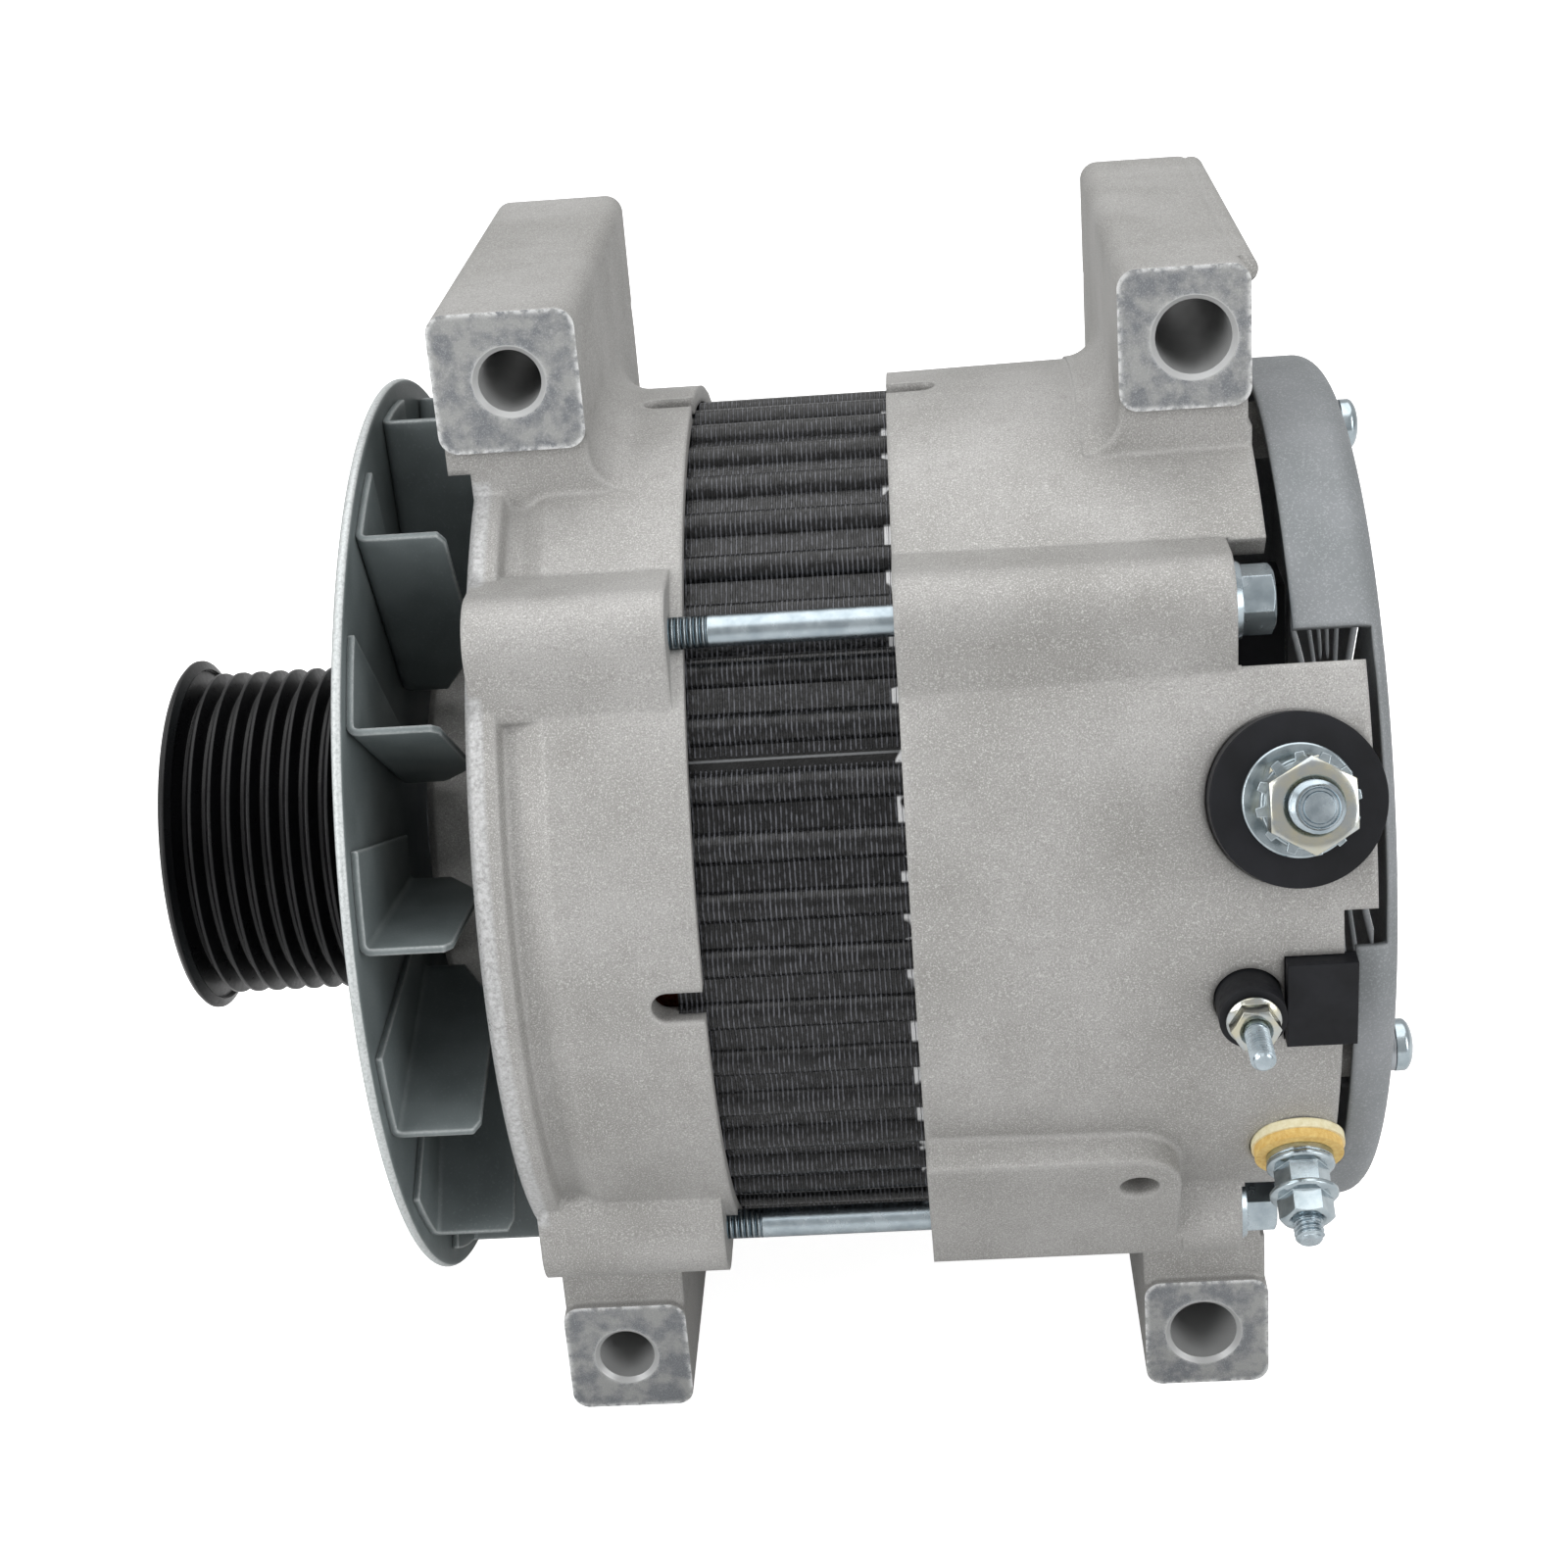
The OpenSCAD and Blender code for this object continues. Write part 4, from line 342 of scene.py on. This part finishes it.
def stator_lacquer():
    # Stacked electrical sheet under black lacquer that stands in beads along the sheets' edges; the beads'
    # shine is a painted highlight, grey on the crests and broken by noise.
    # One weld runs along the stack, and bare sheet shows in the valleys at the rear frame's lip.
    mat, p = new_material("stator_sheet_black_lacquer")
    split = add(mat, "SeparateXYZ", {"Vector": p})
    x = split.outputs["X"]
    turn = math_node(mat, "ARCTAN2", split.outputs["Z"], product(mat, split.outputs["Y"], -1.0))
    turn = product(mat, turn, 180 / math.pi)
    wobble = product(mat, noise(mat, p, 2.2, 2.0), 0.30)
    phase = product(mat, math_node(mat, "ADD", x, wobble), 2 * math.pi / LACQUER_PITCH)
    lines = between(mat, math_node(mat, "SINE", phase), 0.0, 0.7)
    dust = noise(mat, p, 0.8, 3.0, 0.65)
    patch = noise(mat, p, 3.4, 3.0)
    weld = band_mask(mat, turn, WELD_ANGLE, 0.75, 0.1)
    seam = band_mask(mat, turn, WELD_ANGLE + 0.3, 0.12, 0.08)
    lines = product(mat, lines, math_node(mat, "SUBTRACT", 1.0, weld))
    # Painted highlight: grey along the lamination crests, broken by noise, stands in for the lacquer beads'
    # shine.
    painted_crest_highlight = product(mat, lines, between(mat, noise(mat, p, 1.7, 2.0), 0.38, 0.60, 0.15, 1.0))
    base = blend_colour(mat, between(mat, patch, 0.45, 0.7), srgb("#030303"), srgb("#09090a"))
    base = blend_colour(mat, painted_crest_highlight, base, srgb("#515257"))
    base = blend_colour(mat, product(mat, seam, 0.6), base, srgb("#77797b"))
    ribs = product(mat, math_node(mat, "SUBTRACT", turn, RIB_ANGLE), math.pi / HALF_RIB_ANGLE)
    valley = between(mat, math_node(mat, "SINE", ribs), 0.1, 0.3)
    lip = STATOR_REAR - BARE_LIP
    bare = product(mat, valley, between(mat, x, lip, lip + 0.3))
    bare = product(mat, bare, between(mat, noise(mat, p, 6.0, 1.0), 0.46, 0.50))
    base = blend_colour(mat, bare, base, srgb("#d2d3d4"))
    rough = between(mat, dust, 0.3, 0.7, 0.20, 0.38)
    height = math_node(mat, "ADD", lines, product(mat, dust, 0.5))
    return surface(mat, base, rough, bump(mat, height, 1.0, 0.24), 0.0, specular_ior_level=0.35,
                   coat_weight=0.12, coat_roughness=0.18)


def pulley_lacquer():
    # Electrophoretic black lacquer on the turned pulley: deep, glossy, worn thin along its edges
    mat, p = new_material("pulley_black_dip_lacquer")
    wear, soft = edge_wear(mat, 0.3)
    speck = noise(mat, p, 1.2, 3.0, 0.6)
    broad = noise(mat, p, 14.0, 2.0)
    base = blend_colour(mat, between(mat, broad, 0.35, 0.65), srgb("#070709"), srgb("#0c0c0e"))
    broken = product(mat, wear, between(mat, speck, 0.38, 0.62))
    base = blend_colour(mat, product(mat, broken, 0.25), base, srgb("#2a2a2c"))
    rough = between(mat, speck, 0.3, 0.7, 0.26, 0.38)
    return surface(mat, base, rough, bump(mat, speck, 0.2, 0.06, soft), 0.0, specular_ior_level=0.3)


def sparkle_paint():
    # Silver paint with fine aluminium flakes on pressed sheet: even grey with small points of light.
    mat, p = new_material("cover_silver_flake_paint")
    wear, soft = edge_wear(mat, 1.3)
    flakes = add(mat, "TexVoronoi", {"Vector": p}, feature="F1", Scale=4.5)
    chance = add(mat, "SeparateColor", {"Color": flakes.outputs["Color"]}).outputs[0]
    glint = between(mat, chance, 0.72, 1.0)
    broad = noise(mat, p, 18.0, 2.0)
    base = blend_colour(mat, between(mat, broad, 0.35, 0.65), srgb("#777b7d"), srgb("#84878a"))
    base = blend_colour(mat, product(mat, glint, 0.4), base, srgb("#a0a3a5"))
    base = blend_colour(mat, product(mat, wear, 0.2), base, srgb("#9c9fa1"))
    skin = noise(mat, p, 0.5, 2.0)
    return surface(mat, base, between(mat, glint, 0, 1, 0.60, 0.42), bump(mat, skin, 0.4, 0.06, soft), 0.35)


def plated(name, low, high, rough_low=0.18, rough_high=0.34, size=3.0, metallic=1.0, marks=0.3,
           edge=0.25):
    """Plated or bare bright metal with a cloudy sheen and small handling marks."""
    mat, p = new_material(name)
    soft = edge_wear(mat, edge)[1]
    cloud = noise(mat, p, size, 3.0)
    fine = noise(mat, p, 0.45, 2.0)
    base = blend_colour(mat, between(mat, cloud, 0.35, 0.65), srgb(low), srgb(high))
    rough = between(mat, cloud, 0.3, 0.7, rough_low, rough_high)
    return surface(mat, base, rough, bump(mat, fine, marks, 0.03, soft), metallic)


def bolt_zinc():
    # Clear zinc on the long bolts. Their rolled thread starts just behind the front frame's edge; its grooves
    # carry painted shade.
    mat, p = new_material("zinc_plate_bolt")
    x = add(mat, "SeparateXYZ", {"Vector": p}).outputs["X"]
    shank = between(mat, x, BOLT_HEAD_X - 0.2, BOLT_HEAD_X - 0.6)
    soft = mix_value(mat, shank, edge_wear(mat, 0.25)[1], edge_wear(mat, 1.4)[1], "VECTOR")
    cloud = noise(mat, p, 3.0, 3.0)
    thread_end = STATOR_FRONT + BOLT_THREAD
    threaded = between(mat, x, thread_end + 0.4, thread_end)
    crest = math_node(mat, "SINE", product(mat, x, 2 * math.pi))
    # Painted shade: a dark blue grey in the thread's grooves.
    painted_groove_shade = product(mat, between(mat, crest, 0.2, -0.8), threaded)
    base = blend_colour(mat, between(mat, cloud, 0.35, 0.65), srgb("#9ba7ae"), srgb("#b2bdc3"))
    base = blend_colour(mat, product(mat, painted_groove_shade, 0.8), base, srgb("#3c5562"))
    height = product(mat, crest, threaded)
    rough = between(mat, cloud, 0.3, 0.7, 0.18, 0.30)
    return surface(mat, base, rough, bump(mat, height, 1.0, 0.25, soft), 1.0)


def fibre():
    # Vulcanised fibre: the washer against the frame is pale cream, the outer one ochre
    mat, p = new_material("vulcanised_fibre_two_tone")
    soft = edge_wear(mat, 0.35)[1]
    lean = math.radians(GROUND_ANGLE)
    out = add(mat, "VectorMath", {0: p}, operation="DOT_PRODUCT")
    out.inputs[1].default_value = (0, -math.cos(lean), math.sin(lean))
    skin = noise(mat, p, 0.8, 4.0, 0.7)
    layer = between(mat, out.outputs["Value"], FIBRE_SPLIT + 0.06, FIBRE_SPLIT)
    pale = blend_colour(mat, between(mat, skin, 0.35, 0.65), srgb("#d9cfa6"), srgb("#e6dfc0"))
    ochre = blend_colour(mat, between(mat, skin, 0.35, 0.65), srgb("#c9a052"), srgb("#dcc07a"))
    base = blend_colour(mat, layer, ochre, pale)
    rough = between(mat, skin, 0.3, 0.7, 0.55, 0.75)
    return surface(mat, base, rough, bump(mat, skin, 0.8, 0.12, soft), 0.0)


def moulded(name, dark, light, rough_low=0.42, rough_high=0.58, size=1.2, grain=0.4, gleam=0.5):
    """Moulded plastic or pressed fibre with a faint texture."""
    mat, p = new_material(name)
    wear, soft = edge_wear(mat, 0.35)
    skin = noise(mat, p, size, 3.0)
    broad = noise(mat, p, size * 7, 2.0)
    base = blend_colour(mat, between(mat, broad, 0.35, 0.65), srgb(dark), srgb(light))
    base = blend_colour(mat, product(mat, wear, 0.25), base, srgb(light))
    rough = between(mat, skin, 0.3, 0.7, rough_low, rough_high)
    return surface(mat, base, rough, bump(mat, skin, grain, 0.08, soft), 0.0, specular_ior_level=gleam)


FINISHES = {
    "cast_frame": cast_aluminium(),
    "stator_black": stator_lacquer(),
    # Enamelled winding wire under varnish: deep glossy copper brown
    "enamelled_copper": moulded("winding_enamelled_copper", "#5e2a12", "#8a4520", 0.18, 0.34, 0.9, 0.9),
    # Bright zinc on steel: bluish silver, nearly mirror-like on turned faces
    "zinc_steel": plated("zinc_plate_clear", "#9fabb1", "#bac5ca", 0.14, 0.26, 3.0, 1.0, 0.15),
    # Zinc with a thin yellow passivation, uneven
    "yellow_zinc": plated("zinc_plate_yellowish", "#b2b7b8", "#c2bea9", 0.14, 0.26, 3.4, 1.0, 0.15),
    # Ground and polished bearing steel
    "bearing_steel": plated("bearing_steel_ground", "#c9ccd0", "#dadcdf", 0.10, 0.18, 6.0),
    # Bare turned or pressed steel, a little dull
    "plain_steel": plated("steel_turned_bare", "#8c9094", "#a9adb1", 0.26, 0.42, 4.0),
    # Extruded aluminium plate of the rectifier
    "plate_aluminium": plated("aluminium_plate_extruded", "#b9bdc1", "#cdd0d3", 0.30, 0.44, 5.0),
    # Black moulding compound of the insulators
    "black_insulator": moulded("moulding_compound_black", "#131417", "#1a1b1f", 0.48, 0.62, 1.2, 0.4, 0.22),
    "cream_fibre": fibre(),
    "cover_paint": sparkle_paint(),
    "pulley_black": pulley_lacquer(),
    "fan_paint": fan_paint(),
    # Forged iron of the pole pieces, dark and a little oiled
    "pole_iron": plated("pole_iron_forged", "#3e4043", "#54565a", 0.38, 0.52, 5.0, 0.8, 0.6),
    "slip_ring_copper": plated("slip_ring_copper_polished", "#c98d66", "#dba982", 0.12, 0.24, 3.0),
    # Glass-filled polyamide of the bearing cages
    "cage_plastic": moulded("bearing_cage_polyamide", "#5f4a2c", "#7d6540"),
    # Sintered carbon with copper, matt and smooth
    "brush_carbon": moulded("brush_carbon_copper", "#2c2a29", "#3c3735", 0.5, 0.65),
}


# Rolled threads keep their crests crisp
THREAD_ZINC = plated("zinc_plate_thread", "#98a4ab", "#b4bfc5", 0.20, 0.32, 3.0, 1.0, 0.15, 0.04)


def dress_node(name, slot):
    """Gives a CAD node its finish."""
    mesh = NODES[name].data
    mesh.materials.clear()
    mesh.materials.append(FINISHES[slot])


for part in frame["record"]["subparts"]:
    dress_node(part["node"], part["material_slot"])
NODES["through_bolts"].data.materials[0] = bolt_zinc()


# Piece helpers

def piece(name, bm, body, slot, standing_for):
    """Turns a bmesh in millimetres into a finished piece that rides on a body and replaces a node."""
    bmesh.ops.remove_doubles(bm, verts=bm.verts, dist=0.001)
    bmesh.ops.recalc_face_normals(bm, faces=bm.faces)
    bm.transform(Matrix.Scale(MM, 4))
    mesh = bpy.data.meshes.new(name)
    bm.to_mesh(mesh)
    bm.free()
    mesh.materials.append(FINISHES[slot])
    mesh.shade_smooth()
    mesh.set_sharp_from_angle(angle=math.radians(32))
    obj = bpy.data.objects.new(name, mesh)
    bpy.context.scene.collection.objects.link(obj)
    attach(obj, body)
    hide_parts(standing_for)
    return obj


def outwards(angle, x):
    """Matrix that stands Z outwards from the shaft at an angle and a station."""
    return (Matrix.Rotation(math.radians(-angle), 4, "X") @ Matrix.Translation((x, 0, 0))
            @ Matrix.Rotation(math.radians(90), 4, "X"))


def along_shaft(angle, radius, x):
    """Matrix that lays Z along the shaft at an angle, a radius and a station."""
    return (Matrix.Rotation(math.radians(-angle), 4, "X") @ Matrix.Translation((x, -radius, 0))
            @ Matrix.Rotation(math.radians(90), 4, "Y"))


def spun(bm, outline, place, steps=72):
    """Spins a closed outline of (radius, height) points round Z. The outline may depend on the angle."""
    rings = []
    for i in range(steps):
        turn = 2 * math.pi * i / steps
        points = outline(turn) if callable(outline) else outline
        rings.append([bm.verts.new(place @ Vector((r * math.cos(turn), r * math.sin(turn), z)))
                      for r, z in points])
    for i, ring in enumerate(rings):
        after = rings[(i + 1) % steps]
        for k in range(len(ring)):
            m = (k + 1) % len(ring)
            bm.faces.new((ring[k], after[k], after[m], ring[m]))


def thread_ridge(bm, root, crest, pitch, start, end, place, steps=24):
    """Winds one V-shaped ridge round a rod, from start to end along its axis."""
    half = pitch * 0.46
    count = int(steps * ((end - start) / pitch - 1))
    before = None
    for i in range(count + 1):
        turn = 2 * math.pi * i / steps
        z = start + pitch * i / steps
        fade = min(1, i / 8, (count - i) / 8)
        top = root + (crest - root) * fade
        ring = [bm.verts.new(place @ Vector((r * math.cos(turn), r * math.sin(turn), z + h)))
                for r, h in ((root - 0.05, 0), (top, half * 0.85), (top, half * 1.15), (root - 0.05, 2 * half))]
        if before:
            for k in range(4):
                bm.faces.new((before[k], before[(k + 1) % 4], ring[(k + 1) % 4], ring[k]))
        before = ring


def stud(name, node, place, outline, root, crest, pitch, start, end):
    """Terminal stud with a real thread on its free end."""
    bm = bmesh.new()
    spun(bm, outline, place, 48)
    thread_ridge(bm, root, crest, pitch, start, end, place)
    made = piece(name, bm, "housing", "zinc_steel", node)
    made.data.materials[0] = THREAD_ZINC


def nut(bm, place, flats, height, hole, flange=None):
    """Hexagon nut with chamfered corners and a countersunk thread, with or without a flange."""
    circle = flats / 2 * 0.96
    slope = math.tan(math.radians(28))

    def outline(turn):
        corner = (turn + math.pi / 6) % (math.pi / 3) - math.pi / 6
        radius = flats / 2 / math.cos(math.pi / 6 - abs(corner))
        drop = (radius - circle) * slope
        mouth = [(circle, height), (hole + 0.6, height), (hole, height - 0.6)]
        if flange:
            foot = [(hole, 0), (flange - 0.25, 0), (flange, 0.25), (flange, 0.8), (flange - 0.3, 1.1),
                    (radius, 1.35)]
        else:
            foot = [(hole, 0.6), (hole + 0.6, 0), (circle, 0), (radius, drop)]
        return foot + [(radius, height - drop)] + mouth

    spun(bm, outline, place)


def nuts(name, node, slot, items):
    """Nuts of one node: each item is a place, the width over the flats, height, hole and flange radius."""
    bm = bmesh.new()
    for item in items:
        nut(bm, *item)
    piece(name, bm, "housing", slot, node)


def washer_outline(outer, hole, low, high, edge=0.25):
    return [(hole, low), (outer - edge, low), (outer, low + edge), (outer, high - edge), (outer - edge, high),
            (hole, high)]


def battery_washers(place):
    """Flat washer under the first nut, split washer and toothed washer between the two nuts."""
    bm = bmesh.new()
    spun(bm, washer_outline(9.0, 4.2, BATTERY_SEAT, BATTERY_NUTS[0]), place)
    spun(bm, washer_outline(7.1, 4.2, 92.6, 94.5, 0.15), place)

    def toothed(turn):
        tooth = math.sin(12 * turn)
        outer = 6.7 + 1.3 * min(1, max(0, tooth * 2.2))
        twist = 0.5 * math.cos(12 * turn) * (outer - 6.7) / 1.3
        return [(4.2, 94.7), (5.9, 94.7), (outer, 94.75 + twist * 0.6), (outer, 95.75 + twist * 0.08),
                (5.9, 95.8), (4.2, 95.8)]

    spun(bm, toothed, place, 144)
    piece("battery_washer_stack", bm, "housing", "zinc_steel", "battery_washers")


# Fan blades: pressed sheet with a round bend between the foot and the upright

FOOT_STEPS, BEND_STEPS, UPRIGHT_STEPS = 3, 6, 4


def blade_profile(r, u_step):
    """Place of one step of the sheet's outer face at radius r: (tangent, height above the plate)."""
    bend = BLADE_BEND
    side = -BLADE_T / 2
    foot_end = r * math.sin(math.radians(FOOT_ANGLE))
    reach = BLADE_REACH
    if r < BLADE_ROOT_R + BLADE_RAMP:
        reach = BLADE_ROOT_REACH + (r - BLADE_ROOT_R) / BLADE_RAMP * (BLADE_REACH - BLADE_ROOT_REACH)
    past = r - BLADE_TIP_R + BLADE_CORNER
    if past > 0:
        reach = BLADE_REACH - BLADE_CORNER + math.sqrt(max(BLADE_CORNER ** 2 - past ** 2, 0))
    if u_step <= FOOT_STEPS:
        return foot_end + (side + bend - foot_end) * u_step / FOOT_STEPS, 0.0
    u_step -= FOOT_STEPS
    if u_step <= BEND_STEPS:
        a = math.radians(90 * u_step / BEND_STEPS)
        return side + bend - bend * math.sin(a), bend - bend * math.cos(a)
    return side, bend + (reach - bend) * (u_step - BEND_STEPS) / UPRIGHT_STEPS


def fan_blades():
    columns, rows = 20, FOOT_STEPS + BEND_STEPS + UPRIGHT_STEPS
    bm = bmesh.new()
    for i in range(BLADES):
        before = set(bm.verts)
        made = bmesh.ops.create_grid(bm, x_segments=columns, y_segments=rows, size=0.5)
        for v in made["verts"]:
            column = round((v.co.x + 0.5) * columns)
            step = round((v.co.y + 0.5) * rows)
            r = BLADE_ROOT_R + (BLADE_TIP_R - 0.2 - BLADE_ROOT_R) * column / columns
            tangent, height = blade_profile(r, step)
            v.co = (FAN_BACK + height, -math.sqrt(max(r * r - tangent * tangent, 0)), tangent)
        faces = [f for f in bm.faces if f.verts[0] not in before]
        bmesh.ops.recalc_face_normals(bm, faces=faces)
        bmesh.ops.solidify(bm, geom=faces, thickness=BLADE_T)
        rim = [e for e in bm.edges if e.verts[0] not in before and e.calc_face_angle(0) > 1.0]
        bmesh.ops.bevel(bm, geom=rim, offset=0.25, segments=2, profile=0.5, affect="EDGES", material=-1)
        new = [v for v in bm.verts if v not in before]
        bmesh.ops.rotate(bm, verts=new, cent=(0, 0, 0),
                         matrix=Matrix.Rotation(math.radians(-(BLADE_START + i * 360 / BLADES)), 3, "X"))
    piece("fan_blade_set", bm, "rotor", "fan_paint", "fan_blades")


def spring_washers():
    """Split spring washers under the cover screws, their splits pointing in different directions."""
    bm = bmesh.new()
    for a in SCREW_ANGLES:
        before = set(bm.verts)
        outline = [bm.verts.new(c) for c in ((2.6, 0, 0), (4.3, 0, 0), (4.3, 0, 0.95), (2.6, 0, 0.95))]
        face = bm.faces.new(outline)
        bmesh.ops.spin(bm, geom=[face] + list(face.edges) + outline, cent=(0, 0, 0), axis=(0, 0, 1),
                       dvec=(0, 0, 0.35 / 40), angle=math.radians(348), steps=40, use_merge=False)
        new = [v for v in bm.verts if v not in before]
        place = along_shaft(a, SCREW_R, COVER_END) @ Matrix.Rotation(a, 4, "Z")
        bmesh.ops.transform(bm, matrix=place, verts=new)
    piece("cover_split_washers", bm, "housing", "plain_steel", "cover_spring_washers")


# Stage, lamps and camera

def build_stage():
    bpy.ops.mesh.primitive_plane_add(size=30, location=(0, 0, FLOOR_Z * MM))
    floor = bpy.context.object
    floor.name = "floor"
    mat = bpy.data.materials.new("floor_white_paper")
    mat.use_nodes = True
    mat.node_tree.nodes.clear()
    rays = add(mat, "LightPath")
    seen = largest(mat, [rays.outputs["Is Camera Ray"], rays.outputs["Is Transmission Ray"]])
    paper = add(mat, "BsdfDiffuse", Color=srgb("#e0e0e0"))
    glow = add(mat, "Emission", {"Strength": product(mat, seen, FLOOR_GLOW)}, Color=(1, 1, 1, 1))
    both = add(mat, "AddShader", {0: paper.outputs[0], 1: glow.outputs[0]})
    close_material(mat, both)
    floor.data.materials.append(mat)


def build_world():
    world = bpy.data.worlds.new("studio")
    bpy.context.scene.world = world
    world.use_nodes = True
    world.node_tree.nodes.clear()
    rays = add(world, "LightPath")
    seen = largest(world, [rays.outputs["Is Camera Ray"], rays.outputs["Is Transmission Ray"]])
    strength = between(world, seen, 0, 1, WORLD_LIGHT, 1.0)
    back = add(world, "Background", {"Strength": strength}, Color=(1, 1, 1, 1))
    out = add(world, "OutputWorld")
    world.node_tree.links.new(back.outputs[0], out.inputs["Surface"])


def softbox(name, place, width, height, power):
    """Rectangular lamp at a place in metres, turned to the middle of the machine."""
    lamp = bpy.data.lights.new(name, "AREA")
    lamp.shape = "RECTANGLE"
    lamp.size = width
    lamp.size_y = height
    lamp.energy = power
    obj = bpy.data.objects.new(name, lamp)
    obj.location = place
    obj.rotation_euler = (Vector((0.09, 0, 0)) - Vector(place)).to_track_quat("-Z", "Y").to_euler()
    bpy.context.scene.collection.objects.link(obj)


def build_camera():
    """Camera at the photograph's place, found from the object's own circles and edges."""
    yaw, pitch, roll = -0.0678, 0.4164, -0.0827
    ahead = Vector((math.sin(yaw) * math.cos(pitch), math.cos(yaw) * math.cos(pitch), -math.sin(pitch)))
    level = Vector((math.cos(yaw), -math.sin(yaw), 0))
    upright = level.cross(ahead)
    right = math.cos(roll) * level + math.sin(roll) * upright
    up = -math.sin(roll) * level + math.cos(roll) * upright
    camera = bpy.data.cameras.new("camera")
    camera.sensor_width = 36
    camera.lens = 61.33
    camera.clip_start = 0.01
    obj = bpy.data.objects.new("camera", camera)
    turn = Matrix((right, up, -ahead)).transposed().to_4x4()
    obj.matrix_world = Matrix.Translation(Vector((122.34, -458.09, 206.85)) * MM) @ turn
    bpy.context.scene.collection.objects.link(obj)
    bpy.context.scene.camera = obj


build_stage()
build_world()
softbox("top_softbox", (0.07, 0.02, 1.0), 1.5, 1.3, 9.5)
softbox("left_softbox", (-0.75, -0.75, 0.45), 0.6, 0.8, 6.5)
softbox("right_softbox", (0.95, -0.65, 0.35), 0.5, 0.8, 4.6)
build_camera()

bpy.context.scene.view_settings.view_transform = "Standard"

fan_blades()
spring_washers()

# Terminals: threaded studs, chamfered nuts and the washers between them
battery = outwards(BATTERY_ANGLE, BATTERY_X)
stud("battery_threaded_stud", "battery_stud", battery,
     [(0, 57), (7, 57), (7, 60), (4, 60), (4, 102.7), (3.4, 102.75), (3.4, 107.2), (3.1, 107.7),
      (2.85, 107.35), (2.5, 107.4), (2.3, 107.8), (1.2, 108), (0, 108)], 3.4, 4.0, 1.25, 102.2, 107.6)
battery_washers(battery)
nuts("battery_nut_pair", "battery_nuts", "yellow_zinc",
     [(battery @ Matrix.Translation((0, 0, z)) @ Matrix.Rotation(math.radians(turn), 4, "Z"), 13, 6.5, 4.02)
      for z, turn in zip(BATTERY_NUTS, (12, 30))])
signal = outwards(SIGNAL_ANGLE, SIGNAL_X)
stud("signal_threaded_stud", "signal_stud", signal,
     [(0, 71), (3.2, 71), (3.2, 73), (2, 73), (2, 89.9), (1.6, 89.95), (1.6, 98.2), (1.3, 98.5),
      (0, 98.5)], 1.5, 2.0, 0.7, 89.6, 98.4)
nuts("signal_flange_nut", "signal_nut", "yellow_zinc",
     [(signal @ Matrix.Translation((0, 0, SIGNAL_NUT)), 7, 4, 2.02, 4.4)])
ground = (Matrix.Rotation(math.radians(-GROUND_ANGLE), 4, "X") @ Matrix.Translation((GROUND_X, 0, GROUND_RISE))
          @ Matrix.Rotation(math.radians(90), 4, "X"))
stud("ground_threaded_stud", "ground_stud", ground,
     [(0, 74), (2.5, 74), (2.5, 93.5), (2.05, 93.6), (2.05, 96.6), (1.7, 97), (0, 97)],
     2.05, 2.5, 0.8, 93.1, 96.9)
nuts("ground_flange_nuts", "ground_nuts", "zinc_steel",
     [(ground @ Matrix.Translation((0, 0, z)), 8, 5.2, 2.52, 5.7) for z in GROUND_NUTS])
